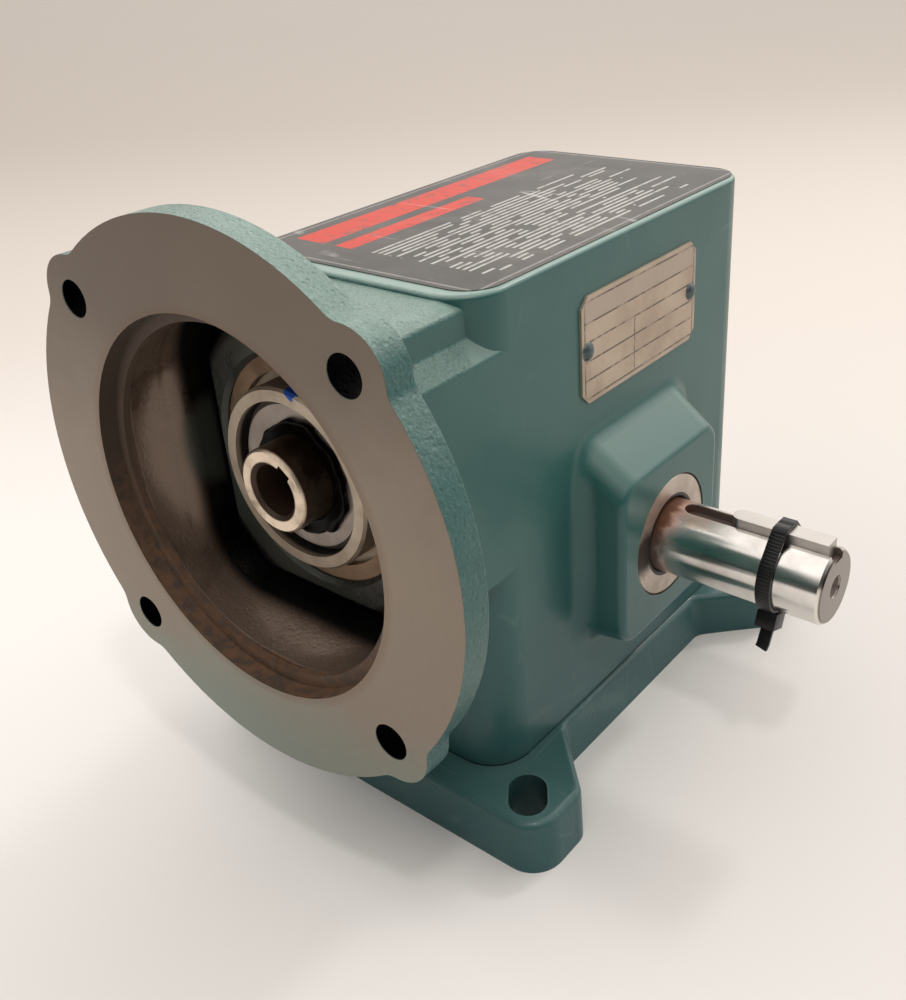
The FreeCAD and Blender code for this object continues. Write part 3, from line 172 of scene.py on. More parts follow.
def chance(tree, dimensions, socket, value):
    node = tree.nodes.new("ShaderNodeTexWhiteNoise")
    node.noise_dimensions = dimensions
    feed(tree, value, node.inputs[socket])
    return node.outputs["Value"]


def stretched(tree, position, scale, turn=(0, 0, 0)):
    node = tree.nodes.new("ShaderNodeMapping")
    feed(tree, position, node.inputs["Vector"])
    node.inputs["Scale"].default_value = scale
    node.inputs["Rotation"].default_value = turn
    return node.outputs[0]


def axes(tree, position):
    node = tree.nodes.new("ShaderNodeSeparateXYZ")
    feed(tree, position, node.inputs[0])
    return node.outputs[0], node.outputs[1], node.outputs[2]


def facingAxes(tree):
    return axes(tree, tree.nodes.new("ShaderNodeNewGeometry").outputs["Normal"])


def rgb(red, green, blue):
    # a colour given as screen values 0 to 255
    def straight(value):
        value = value / 255
        return value / 12.92 if value <= 0.04045 else ((value + 0.055) / 1.055) ** 2.4
    return (straight(red), straight(green), straight(blue), 1.0)


# Shared effects, each a group used in several materials
number, arrow = "NodeSocketFloat", "NodeSocketVector"
skinLook = {"fine": (5.0, 0.62), "fineShare": 0.5, "wave": (3.0, 0.5), "waveScale": 0.16, "waveShare": 0.8,
            "pitScale": 0.55, "pitEdge": (0.05, 0.42), "pitShare": 0.22, "mottle": (4.0, 0.6),
            "mottleScale": 0.035}
rubLook = {"edge": (0.015, 0.16), "gaps": (4.0, 0.6), "gapEdge": (0.40, 0.62), "samples": 4}
grimeShadeLook = {"closed": (0.86, 0.30), "patch": (4.0, 0.6), "patchShare": (0.25, 1.15), "samples": 4}
stainLook = {"cloud": (5.0, 0.62, 0.3), "level": 0.78, "coverShare": 0.5, "steep": 7.0}
toolLook = {"alongShare": 0.9, "lineScale": 0.35, "lineDetail": 3.0, "ringShare": 0.25}
scuffLook = {"runs": (((0.3, 0.2, 0.5), (1.0, 0.05, 0.3)), ((1.2, 0.7, 2.1), (0.07, 1.0, 0.4))),
             "line": (0.012, 0.002), "patch": (3.0, 0.6), "patchScale": 21.0, "patchStep": 9.0,
             "patchEdge": (0.55, 0.66)}


def newGroup(name, inputs, outputs):
    tree = bpy.data.node_groups.new(name, "ShaderNodeTree")
    for label in inputs:
        kind = arrow if label in ("Position", "Centre", "Axis") else number
        tree.interface.new_socket(name=label, in_out="INPUT", socket_type=kind)
    for label in outputs:
        tree.interface.new_socket(name=label, in_out="OUTPUT", socket_type=number)
    entry = tree.nodes.new("NodeGroupInput")
    leave = tree.nodes.new("NodeGroupOutput")
    return tree, entry.outputs, leave.inputs


def useGroup(tree, group, **values):
    node = tree.nodes.new("ShaderNodeGroup")
    node.node_tree = group
    for label, value in values.items():
        feed(tree, value, node.inputs[label])
    return node.outputs


def maskFrom(tree, group, place, settings):
    return useGroup(tree, group, Position=place, **settings)["Mask"]


def makeSpindle():
    # distance from a turning axis, and place along it
    tree, given, out = newGroup("spindle", ["Position", "Centre", "Axis"], ["Radius", "Along"])
    offset = vectorCalc(tree, "SUBTRACT", given["Position"], given["Centre"])
    along = vectorCalc(tree, "DOT_PRODUCT", offset, given["Axis"])
    across = vectorCalc(tree, "SUBTRACT", offset, vectorCalc(tree, "SCALE", given["Axis"], along))
    feed(tree, vectorCalc(tree, "LENGTH", across, (0, 0, 0)), out["Radius"])
    feed(tree, along, out["Along"])
    return tree


def makeCastSkin():
    # sand-cast surface: grain, shallow waves and a few pits
    look = skinLook
    tree, given, out = newGroup("castSkin", ["Position", "Grain"], ["Height", "Mottle", "Grit"])
    place, grain = given["Position"], given["Grain"]
    fine = noise(tree, place, grain, *look["fine"])
    wave = noise(tree, place, times(tree, grain, look["waveScale"]), *look["wave"])
    cell = tree.nodes.new("ShaderNodeTexVoronoi")
    feed(tree, place, cell.inputs["Vector"])
    feed(tree, times(tree, grain, look["pitScale"]), cell.inputs["Scale"])
    pits = fade(tree, cell.outputs["Distance"], *look["pitEdge"])
    height = plus(tree, times(tree, fine, look["fineShare"]), times(tree, wave, look["waveShare"]))
    feed(tree, plus(tree, height, times(tree, pits, look["pitShare"])), out["Height"])
    feed(tree, noise(tree, place, times(tree, grain, look["mottleScale"]), *look["mottle"]), out["Mottle"])
    feed(tree, fine, out["Grit"])
    return tree


def makeEdgeRub():
    # where corners turn sharply, broken up so that the line is never even
    look = rubLook
    tree, given, out = newGroup("edgeRub", ["Position", "Reach", "Break"], ["Mask"])
    bevel = tree.nodes.new("ShaderNodeBevel")
    bevel.samples = look["samples"]
    feed(tree, given["Reach"], bevel.inputs["Radius"])
    facing = tree.nodes.new("ShaderNodeNewGeometry").outputs["Normal"]
    turn = minus(tree, 1.0, vectorCalc(tree, "DOT_PRODUCT", bevel.outputs[0], facing))
    gaps = fade(tree, noise(tree, given["Position"], given["Break"], *look["gaps"]), *look["gapEdge"])
    feed(tree, times(tree, fade(tree, turn, *look["edge"]), gaps), out["Mask"])
    return tree


def makeGrimeAndShade():
    # dirt and oil that gather in corners, and painted shade that darkens closed-in corners
    look = grimeShadeLook
    tree, given, out = newGroup("grime", ["Position", "Reach", "Patch"], ["Mask"])
    hollow = tree.nodes.new("ShaderNodeAmbientOcclusion")
    hollow.samples = look["samples"]
    hollow.only_local = True
    feed(tree, given["Reach"], hollow.inputs["Distance"])
    closed = fade(tree, hollow.outputs["AO"], *look["closed"])
    patch = spread(tree, noise(tree, given["Position"], given["Patch"], *look["patch"]), *look["patchShare"])
    feed(tree, calc(tree, "MULTIPLY", closed, patch, clamp=True), out["Mask"])
    return tree


def makeStain():
    # soft-edged patches
    look = stainLook
    tree, given, out = newGroup("stain", ["Position", "Size", "Cover"], ["Mask"])
    cloud = noise(tree, given["Position"], given["Size"], *look["cloud"])
    level = minus(tree, look["level"], times(tree, given["Cover"], look["coverShare"]))
    feed(tree, calc(tree, "MULTIPLY", minus(tree, cloud, level), look["steep"], clamp=True), out["Mask"])
    return tree


def makeToolMarks():
    # fine rings left by a turning tool
    look = toolLook
    tree, given, out = newGroup("toolMarks", ["Radius", "Along", "Pitch"], ["Height", "Streak"])
    both = plus(tree, given["Radius"], times(tree, given["Along"], look["alongShare"]))
    turns = calc(tree, "DIVIDE", both, given["Pitch"])
    line = tree.nodes.new("ShaderNodeTexNoise")
    line.noise_dimensions = "1D"
    feed(tree, turns, line.inputs["W"])
    line.inputs["Scale"].default_value = look["lineScale"]
    line.inputs["Detail"].default_value = look["lineDetail"]
    ring = calc(tree, "SINE", times(tree, turns, 2 * math.pi))
    feed(tree, plus(tree, times(tree, ring, look["ringShare"]), line.outputs[0]), out["Height"])
    feed(tree, line.outputs[0], out["Streak"])
    return tree


def makeScuffs():
    # thin scratches that run at several slants
    look = scuffLook
    tree, given, out = newGroup("scuffs", ["Position", "Count"], ["Mask"])
    lines = []
    for turn, pull in look["runs"]:
        cell = tree.nodes.new("ShaderNodeTexVoronoi")
        cell.feature = "DISTANCE_TO_EDGE"
        feed(tree, stretched(tree, given["Position"], pull, turn), cell.inputs["Vector"])
        feed(tree, given["Count"], cell.inputs["Scale"])
        scale = look["patchScale"] + look["patchStep"] * turn[0]
        patch = fade(tree, noise(tree, given["Position"], scale, *look["patch"]), *look["patchEdge"])
        lines.append(times(tree, fade(tree, cell.outputs["Distance"], *look["line"]), patch))
    feed(tree, anyOf(tree, *lines), out["Mask"])
    return tree


spindleGroup = makeSpindle()
castSkinGroup = makeCastSkin()
edgeRubGroup = makeEdgeRub()
grimeShadeGroup = makeGrimeAndShade()
stainGroup = makeStain()
toolMarksGroup = makeToolMarks()
scuffsGroup = makeScuffs()
print("shared effects ready")


# Material helpers
def newMaterial(name):
    material = bpy.data.materials.new(name)
    material.use_nodes = True
    tree = material.node_tree
    shader = tree.nodes["Principled BSDF"]
    place = tree.nodes.new("ShaderNodeTexCoord").outputs["Object"]
    return material, tree, shader, place


def surface(tree, shader, colour, rough, metal=None, gloss=None):
    feed(tree, colour, shader.inputs["Base Color"])
    feed(tree, rough, shader.inputs["Roughness"])
    if metal is not None:
        feed(tree, metal, shader.inputs["Metallic"])
    if gloss is not None:
        shader.inputs["Specular IOR Level"].default_value = gloss


def bumpFrom(tree, shader, height, depth):
    node = tree.nodes.new("ShaderNodeBump")
    node.inputs["Strength"].default_value = 1.0
    node.inputs["Distance"].default_value = depth
    feed(tree, height, node.inputs["Height"])
    feed(tree, node.outputs[0], shader.inputs["Normal"])


def wormSpindle(tree, place):
    return useGroup(tree, spindleGroup, Position=place, Centre=(0, 0, wormHeight), Axis=(0, 1, 0))


def outputSpindle(tree, place):
    return useGroup(tree, spindleGroup, Position=place, Centre=(0, 0, outputHeight), Axis=(1, 0, 0))


def turnedMarks(tree, spin, pitch):
    return useGroup(tree, toolMarksGroup, Radius=spin["Radius"], Along=spin["Along"], Pitch=pitch)


def dress(material, *names):
    for name in names:
        node = nodes[name]
        node.data.materials.clear()
        node.data.materials.append(material)


# Green-blue casting paint
paintLook = {
    "body": rgb(51, 97, 92), "shade": rgb(40, 86, 84), "low": rgb(36, 78, 84), "smear": rgb(94, 92, 70),
    "rub": rgb(138, 162, 150), "dust": rgb(112, 124, 114), "film": rgb(176, 198, 184),
    "grime": rgb(20, 27, 25), "grain": 980.0, "grainHeight": (0.20, 4.2), "caseGrain": 0.12,
    "bump": 0.00026, "shadeShare": 0.9, "lowEdge": (0.115, 0.015), "lowShare": 0.55,
    "smearNoise": (17.0, 6.0, 0.65, 1.2), "smearEdge": (0.60, 0.74), "smearShare": 0.26,
    "rubAt": {"Reach": 0.0016, "Break": 95.0}, "rubShare": 0.26, "dustAt": {"Size": 9.0, "Cover": 0.42},
    "dustShare": 0.16, "scuffAt": {"Count": 34.0}, "scuffShare": 0.10, "filmSlope": (0.30, 0.95),
    "filmHeight": (0.09, 0.14), "filmLow": 0.14, "filmShare": (0.33, 0.50), "peakEdge": (0.54, 0.68),
    "peakShare": 0.14, "hollowEdge": (0.47, 0.36), "hollowShare": 0.16,
    "grimeAt": {"Reach": 0.020, "Patch": 60.0}, "grimeShare": 0.66, "smooth": 0.26, "coarse": 0.42,
    "dustRough": 0.62, "dustRoughShare": 0.5, "castSheen": 0.72, "gloss": 0.4, "coat": 0.10,
    "coatRough": 0.11,
}


def paintColour(tree, place, castShare):
    # castShare says how much of the sand grain shows through the paint
    look = paintLook
    z = axes(tree, place)[2]
    skin = useGroup(tree, castSkinGroup, Position=place, Grain=look["grain"])
    mottle = skin["Mottle"]
    colour = blendColour(tree, spread(tree, mottle, 0.0, look["shadeShare"]), look["body"], look["shade"])
    # bluer and darker towards the floor as painted shade, brownish smears here and there
    colour = blendColour(tree, fade(tree, z, *look["lowEdge"]), colour, look["low"], look["lowShare"])
    smear = fade(tree, noise(tree, place, *look["smearNoise"]), *look["smearEdge"])
    colour = blendColour(tree, smear, colour, look["smear"], look["smearShare"])
    # paler paint rubbed off at the edges, together with a painted highlight along them
    rub = maskFrom(tree, edgeRubGroup, place, look["rubAt"])
    colour = blendColour(tree, rub, colour, look["rub"], look["rubShare"])
    dust = maskFrom(tree, stainGroup, place, look["dustAt"])
    colour = blendColour(tree, dust, colour, look["dust"], look["dustShare"])
    scuff = maskFrom(tree, scuffsGroup, place, look["scuffAt"])
    colour = blendColour(tree, scuff, colour, look["rub"], look["scuffShare"])
    # pale film of dust and painted sheen on what faces up, high on the case
    film = allOf(tree, fade(tree, facingAxes(tree)[2], *look["filmSlope"]),
                 spread(tree, fade(tree, z, *look["filmHeight"]), look["filmLow"], 1.0),
                 spread(tree, mottle, *look["filmShare"]))
    colour = blendColour(tree, film, colour, look["film"])
    # worn peaks and dirty hollows of the sand grain, with a painted sparkle highlight on the peaks and
    # painted shade in the hollows
    peak = times(tree, fade(tree, skin["Grit"], *look["peakEdge"]), castShare)
    colour = blendColour(tree, peak, colour, look["film"], look["peakShare"])
    hollow = times(tree, fade(tree, skin["Grit"], *look["hollowEdge"]), castShare)
    colour = blendColour(tree, hollow, colour, look["grime"], look["hollowShare"])
    # darker in closed-in corners: dirt and painted contact shade
    grime = maskFrom(tree, grimeShadeGroup, place, look["grimeAt"])
    colour = blendColour(tree, grime, colour, look["grime"], look["grimeShare"])
    rough = blendValue(tree, mottle, look["smooth"], look["coarse"])
    rough = blendValue(tree, times(tree, dust, look["dustRoughShare"]), rough, look["dustRough"])
    rough = blendValue(tree, castShare, rough, times(tree, rough, look["castSheen"]))
    height = times(tree, skin["Height"], spread(tree, castShare, *look["grainHeight"]))
    return colour, rough, height


def makeCasePaint():
    look = paintLook
    material, tree, shader, place = newMaterial("casePaint")
    colour, rough, height = paintColour(tree, place, look["caseGrain"])
    surface(tree, shader, colour, rough, gloss=look["gloss"])
    shader.inputs["Coat Weight"].default_value = look["coat"]
    shader.inputs["Coat Roughness"].default_value = look["coatRough"]
    bumpFrom(tree, shader, height, look["bump"])
    return material


# Places on the housing, and the bare iron where it is machined
housingPlaces = {
    "face": -0.12855, "flangeBack": -0.1125, "boxFront": -0.0780, "neckBlend": 0.004,
    "neckSlope": (0.1, 0.5), "rimBlend": 0.002, "rimGrain": 0.75, "backReach": (0.003, 0.0015),
    "backSlope": (0.4, 0.8), "backNoise": (30.0, 5.0, 0.6), "backShare": 0.85, "seam": rgb(6, 12, 12),
    "seamReach": (0.0009, 0.0004), "seamShare": 0.92, "pilotRadius": 0.0574, "pilotEnd": -0.1206,
    "bowlEnd": -0.0893, "waist": -0.1051, "sideLimit": 0.0452, "heightLimit": 0.0492, "flare": 0.9,
    "boltOffset": 0.05276, "boltRadius": 0.0057, "boltEdge": 0.0003, "boltEnd": (-0.1120, -0.1135),
    "sealRadius": 0.0218, "sealFrom": (0.0540, 0.0560), "sealTo": (0.0632, 0.0629), "crisp": 0.0001,
    "soft": 0.0002, "blur": 0.0004,
}
ironLook = {
    "iron": rgb(142, 129, 115), "ironDark": rgb(112, 101, 90), "ironLow": rgb(127, 136, 126),
    "toolPitch": 0.0006, "toolHeight": 0.05, "streakShare": 0.16, "cloud": (22.0, 5.0, 0.6),
    "cloudShift": 0.05, "upperEdge": (0.150, 0.215), "lowerEdge": (0.115, 0.070),
    "pilotStain": (0.0605, 0.0575), "pilotShare": 0.30, "faceRough": (0.34, 0.52), "faceMetal": 0.6,
    "rust": rgb(108, 78, 56), "rustDeep": rgb(80, 66, 55), "rustDark": rgb(64, 53, 45),
    "rustNoise": (240.0, 6.0, 0.75), "rustEdge": (0.60, 0.42), "rustShare": (0.08, 0.85),
    "rustRough": 0.62, "rustHeight": 0.9, "belowReach": (0.012, -0.040),
    "registerRing": (-0.0016, -0.0010), "registerShare": (0.9, 0.35), "bowl": rgb(114, 97, 84),
    "bowlDark": rgb(99, 83, 71), "oilAt": {"Size": 34.0, "Cover": 0.55}, "oilRough": (0.40, 0.20),
    "oilMetal": 0.45, "bowlHeight": 0.28, "trench": rgb(12, 10, 9), "trenchDepth": (-0.1095, -0.1040),
    "ridge": rgb(66, 70, 64), "ridgeDepth": (-0.0965, -0.0985), "ridgeRadius": (0.0460, 0.0435),
    "ridgeOil": (1.0, 0.75), "ridgeShare": 0.9, "hole": rgb(3, 3, 3), "holeRough": 0.8,
}


def flangeIron(tree, place, radius):
    # turned flat and left bare
    look = ironLook
    marks = useGroup(tree, toolMarksGroup, Radius=radius, Along=0.0, Pitch=look["toolPitch"])
    cloud = noise(tree, place, *look["cloud"])
    level = plus(tree, axes(tree, place)[2], times(tree, cloud, look["cloudShift"]))
    # darker towards the top and greener towards the bottom: painted reflections on the turned face; tool
    # streaks darker
    colour = blendColour(tree, fade(tree, level, *look["upperEdge"]), look["iron"], look["ironDark"])
    colour = blendColour(tree, fade(tree, level, *look["lowerEdge"]), colour, look["ironLow"])
    colour = blendColour(tree, marks["Streak"], colour, look["ironDark"], look["streakShare"])
    stain = fade(tree, radius, *look["pilotStain"])
    colour = blendColour(tree, stain, colour, look["rust"], look["pilotShare"])
    return colour, spread(tree, cloud, *look["faceRough"]), times(tree, marks["Height"], look["toolHeight"])


def rustySteps(tree, place, radius):
    # motor register: darker above, finely rusted below
    look, at = ironLook, housingPlaces
    cloud = noise(tree, place, *look["rustNoise"])
    below = fade(tree, axes(tree, place)[2], *[wormHeight + reach for reach in look["belowReach"]])
    ring = fade(tree, radius, *[at["pilotRadius"] + reach for reach in look["registerRing"]])
    register = times(tree, ring, spread(tree, below, *look["registerShare"]))
    rusty = times(tree, fade(tree, cloud, *look["rustEdge"]), spread(tree, below, *look["rustShare"]))
    colour = blendColour(tree, register, look["rustDeep"], look["rustDark"])
    return blendColour(tree, rusty, colour, look["rust"]), times(tree, cloud, look["rustHeight"])


def oilyBowl(tree, place, radius):
    # brown oil film; a black painted shadow in the trench, and the raised seal ridge in grey-green, lightened
    # as a painted highlight
    look = ironLook
    y = axes(tree, place)[1]
    oil = maskFrom(tree, stainGroup, place, look["oilAt"])
    colour = blendColour(tree, oil, look["bowl"], look["bowlDark"])
    ridge = allOf(tree, fade(tree, y, *look["ridgeDepth"]), fade(tree, radius, *look["ridgeRadius"]),
                  spread(tree, oil, *look["ridgeOil"]))
    colour = blendColour(tree, fade(tree, y, *look["trenchDepth"]), colour, look["trench"])
    colour = blendColour(tree, ridge, colour, look["ridge"], look["ridgeShare"])
    return colour, blendValue(tree, oil, *look["oilRough"])


def makeHousingPaint():
    paint, look, at = paintLook, ironLook, housingPlaces
    material, tree, shader, place = newMaterial("housingPaint")
    x, y, z = axes(tree, place)
    facing = facingAxes(tree)
    radius = wormSpindle(tree, place)["Radius"]
    side, up = size(tree, x), size(tree, minus(tree, z, wormHeight))

    # sand grain on the flange rim and on what faces up on the neck
    neck = times(tree, fade(tree, y, at["boxFront"] + at["neckBlend"], at["boxFront"] - at["neckBlend"]),
                 fade(tree, facing[2], *at["neckSlope"]))
    rim = times(tree, under(tree, y, at["flangeBack"], at["rimBlend"]), at["rimGrain"])
    colour, rough, height = paintColour(tree, place, anyOf(tree, neck, rim))

    # painted shade on the back of the flange, broken up like dirt; dark joint where the housing stands on the
    # base
    flangeBackShade = allOf(tree, fade(tree, y, *[at["flangeBack"] + reach for reach in at["backReach"]]),
                 fade(tree, facing[1], *at["backSlope"]),
                 spread(tree, noise(tree, place, *at["backNoise"]), 0.0, at["backShare"]))
    colour = blendColour(tree, flangeBackShade, colour, paint["grime"])
    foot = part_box("housing")[0].z
    seam = fade(tree, z, *[foot + reach for reach in at["seamReach"]])
    colour = blendColour(tree, seam, colour, at["seam"], at["seamShare"])

    # flange face
    face = under(tree, y, at["face"], at["crisp"])
    iron, ironRough, ironHeight = flangeIron(tree, place, radius)
    colour = blendColour(tree, face, colour, iron)
    rough = blendValue(tree, face, rough, ironRough)

    # recess behind the face: rusty turned steps, then the dark oily bowl
    reach = anyOf(tree, times(tree, minus(tree, at["waist"], y), at["flare"]), 0.0)
    bowl = allOf(tree, under(tree, minus(tree, side, reach), at["sideLimit"], at["soft"]),
                 under(tree, minus(tree, up, reach), at["heightLimit"], at["soft"]),
                 under(tree, y, at["bowlEnd"], at["soft"]), past(tree, y, at["face"], at["crisp"]),
                 under(tree, radius, at["pilotRadius"], at["soft"]))
    steps = under(tree, y, at["pilotEnd"], at["blur"])
    oily, oilyRough = oilyBowl(tree, place, radius)
    rust, rustHeight = rustySteps(tree, place, radius)
    colour = blendColour(tree, bowl, colour, blendColour(tree, steps, oily, rust))
    rough = blendValue(tree, bowl, rough, blendValue(tree, steps, oilyRough, look["rustRough"]))

    # bolt holes, their walls painted black as shade, and the seal bore
    holeX, holeZ = minus(tree, side, at["boltOffset"]), minus(tree, up, at["boltOffset"])
    apart = calc(tree, "SQRT", plus(tree, times(tree, holeX, holeX), times(tree, holeZ, holeZ)))
    hole = allOf(tree, under(tree, apart, at["boltRadius"], at["boltEdge"]),
                 past(tree, y, at["face"], at["blur"]), fade(tree, y, *at["boltEnd"]))
    colour = blendColour(tree, hole, colour, look["hole"])
    bore = allOf(tree, under(tree, outputSpindle(tree, place)["Radius"], at["sealRadius"], at["crisp"]),
                 fade(tree, x, *at["sealFrom"]), fade(tree, x, *at["sealTo"]))
    colour = blendColour(tree, bore, colour, look["bowlDark"])

    oiled = times(tree, bowl, minus(tree, 1.0, steps))
    bare = plus(tree, times(tree, face, look["faceMetal"]), times(tree, oiled, look["oilMetal"]))
    surface(tree, shader, colour, blendValue(tree, hole, rough, look["holeRough"]), anyOf(tree, bare, hole),
            paint["gloss"])
    covered = minus(tree, 1.0, anyOf(tree, face, bowl, hole))
    feed(tree, times(tree, covered, paint["coat"]), shader.inputs["Coat Weight"])
    shader.inputs["Coat Roughness"].default_value = paint["coatRough"]
    relief = blendValue(tree, face, height, ironHeight)
    relief = blendValue(tree, bowl, relief, times(tree, height, look["bowlHeight"]))
    relief = blendValue(tree, times(tree, steps, bowl), relief, rustHeight)
    bumpFrom(tree, shader, relief, paint["bump"])
    return material


dress(makeHousingPaint(), "housing")
dress(makeCasePaint(), "base", "side_cover")
print("castings painted")


# Bare steels and irons
bearingParts = [f"{end}_bearing_{part}" for end in ("input", "rear")
                for part in ("outer_ring", "inner_ring", "balls")]
rollerParts = [f"{end}_bearing_{part}" for end in ("right", "left") for part in ("cup", "cone", "rollers")]
steelLooks = {
    "turnedSteel": {
        "nodes": ["seal_carrier"], "colour": rgb(184, 170, 151), "dark": rgb(146, 131, 114),
        "stain": rgb(124, 98, 76), "cover": 0.2, "rough": (0.34, 0.5), "metal": 0.6, "pitch": 0.0004,
        "axis": "worm", "well": rgb(22, 18, 15), "dab": rgb(24, 84, 176),
        "dabPlace": (0.0042, -0.1026, 0.1552), "dabRadius": 0.0034, "dabEdge": 0.0003},
    "inputSealCase": {
        "nodes": ["input_seal_case"], "colour": rgb(172, 161, 152), "dark": rgb(142, 131, 122),
        "stain": rgb(62, 52, 46), "cover": 0.2, "rough": (0.38, 0.55), "metal": 0.6, "pitch": 0.0005,
        "axis": "worm"},
    "outputSealCase": {
        "nodes": ["output_seal_case"], "colour": rgb(198, 186, 175), "dark": rgb(158, 145, 134),
        "stain": rgb(92, 66, 48), "cover": 0.46, "rough": (0.28, 0.42), "metal": 0.75, "pitch": 0.0005,
        "axis": "output", "dab": rgb(48, 34, 25), "dabPlace": (0.0632, -0.0165, outputHeight + 0.001),
        "dabRadius": 0.0105, "dabEdge": 0.0060},
    "boreCap": {
        "nodes": ["rear_bore_plug"], "colour": rgb(128, 122, 112), "dark": rgb(96, 90, 82),
        "stain": rgb(70, 52, 38), "cover": 0.36, "rough": (0.34, 0.5), "metal": 0.8, "pitch": 0.0008,
        "axis": "worm"},
    "springSteel": {
        "nodes": ["input_snap_ring", "quill_snap_ring"], "colour": rgb(158, 132, 108),
        "dark": rgb(112, 90, 70), "stain": rgb(48, 32, 22), "cover": 0.5, "rough": (0.34, 0.55),
        "metal": 0.7, "pitch": 0.0006, "axis": "worm"},
    "bearingSteel": {
        "nodes": bearingParts, "colour": rgb(196, 194, 190), "dark": rgb(160, 158, 154),
        "stain": rgb(110, 96, 74), "cover": 0.2, "rough": (0.16, 0.26), "metal": 1.0, "pitch": 0.0003,
        "axis": "worm"},
    "rollerSteel": {
        "nodes": rollerParts, "colour": rgb(190, 188, 184), "dark": rgb(152, 150, 146),
        "stain": rgb(110, 96, 74), "cover": 0.2, "rough": (0.17, 0.28), "metal": 1.0, "pitch": 0.0003,
        "axis": "output"},
    "cageSteel": {
        "nodes": ["input_bearing_cage", "rear_bearing_cage"], "colour": rgb(150, 146, 140),
        "dark": rgb(112, 108, 102), "stain": rgb(84, 68, 50), "cover": 0.3, "rough": (0.3, 0.42),
        "metal": 0.95, "pitch": 0.0009, "axis": "worm"},
    "rollerCage": {
        "nodes": ["right_bearing_cage", "left_bearing_cage"], "colour": rgb(146, 142, 136),
        "dark": rgb(108, 104, 98), "stain": rgb(84, 68, 50), "cover": 0.3, "rough": (0.3, 0.42),
        "metal": 0.95, "pitch": 0.0009, "axis": "output"},
    "wheelBronze": {
        "nodes": ["worm_wheel"], "colour": rgb(196, 150, 84), "dark": rgb(150, 106, 54),
        "stain": rgb(92, 62, 32), "cover": 0.34, "rough": (0.24, 0.38), "metal": 0.95, "pitch": 0.0005,
        "axis": "output"},
    "hubIron": {
        "nodes": ["wheel_hub"], "colour": rgb(108, 104, 98), "dark": rgb(76, 72, 66),
        "stain": rgb(58, 44, 32), "cover": 0.4, "rough": (0.42, 0.6), "metal": 0.7, "pitch": 0.0007,
        "axis": "output"},
}
steelWear = {"cloud": (60.0, 5.0, 0.6), "cloudEdge": (0.35, 0.7), "streakShare": 0.2, "stainSize": 48.0,
             "stainShare": 0.7, "grimeAt": {"Reach": 0.003, "Patch": 130.0}, "grimeShare": 0.75,
             "dirtRough": 0.15, "roughest": 0.8, "dirtMetal": 0.4, "bump": 0.000006,
             "wellRing": (0.0006, 0.0003), "wellReach": (-0.0026, -0.0008), "dabNoise": (700.0, 3.0, 0.6),
             "dabWander": (-0.001, 0.001)}


def wellMask(tree, spin):
    # where the sleeve meets the seal
    sealLow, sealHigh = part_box("input_seal_case")
    sealRadius = (sealHigh.x - sealLow.x) / 2
    return times(tree, fade(tree, spin["Radius"], *[sealRadius + ring for ring in steelWear["wellRing"]]),
                 fade(tree, spin["Along"], *[sealLow.y + reach for reach in steelWear["wellReach"]]))


def dabMask(tree, place, look):
    apart = vectorCalc(tree, "DISTANCE", place, look["dabPlace"])
    wander = spread(tree, noise(tree, place, *steelWear["dabNoise"]), *steelWear["dabWander"])
    return fade(tree, plus(tree, apart, wander), look["dabRadius"], look["dabRadius"] - look["dabEdge"])


def makeSteel(name, look):
    wear = steelWear
    material, tree, shader, place = newMaterial(name)
    spin = wormSpindle(tree, place) if look["axis"] == "worm" else outputSpindle(tree, place)
    marks = turnedMarks(tree, spin, look["pitch"])
    cloud = noise(tree, place, *wear["cloud"])
    colour = blendColour(tree, fade(tree, cloud, *wear["cloudEdge"]), look["colour"], look["dark"])
    colour = blendColour(tree, marks["Streak"], colour, look["dark"], wear["streakShare"])
    stain = maskFrom(tree, stainGroup, place, {"Size": wear["stainSize"], "Cover": look["cover"]})
    # stains, and corners darkened by dirt and painted shade
    grime = maskFrom(tree, grimeShadeGroup, place, wear["grimeAt"])
    dirtAndShade = anyOf(tree, times(tree, stain, wear["stainShare"]), times(tree, grime, wear["grimeShare"]))
    colour = blendColour(tree, dirtAndShade, colour, look["stain"])
    if "well" in look:  # black on the sleeve's inner wall beside the seal
        well = wellMask(tree, spin)
        colour = blendColour(tree, well, colour, look["well"])
        dirtAndShade = anyOf(tree, dirtAndShade, well)
    if "dab" in look:  # marking paint on the sleeve, a brown painted shadow on the output seal
        dab = dabMask(tree, place, look)
        colour = blendColour(tree, dab, colour, look["dab"])
        dirtAndShade = anyOf(tree, dirtAndShade, dab)
    dirtRough = min(wear["roughest"], look["rough"][1] + wear["dirtRough"])
    surface(tree, shader, colour, blendValue(tree, dirtAndShade, spread(tree, cloud, *look["rough"]), dirtRough),
            blendValue(tree, dirtAndShade, look["metal"], look["metal"] * wear["dirtMetal"]))
    bumpFrom(tree, shader, marks["Height"], wear["bump"])
    return material


for steelName, steelLook in steelLooks.items():
    dress(makeSteel(steelName, steelLook), *steelLook["nodes"])


# Worm shaft: pale turned motor end, brown in the bore and on the neck behind it
quillLook = {"pale": rgb(226, 208, 186), "dark": rgb(134, 118, 101), "bore": rgb(46, 34, 26),
             "brown": rgb(74, 52, 38), "thread": rgb(140, 134, 126), "pitch": 0.0004,
             "cloud": (80.0, 5.0, 0.6), "neckEdge": (0.36, 0.66), "threadFrom": (-0.085, -0.070),
             "end": (-0.1122, -0.1128), "endEdge": (0.4, 0.75), "boreRadius": (0.0095, 0.0089),
             "boreEnd": (-0.050, -0.055), "rough": (0.26, 0.44), "boreRough": 0.5, "metal": 0.85,
             "boreMetal": 0.4, "bump": 0.000006}


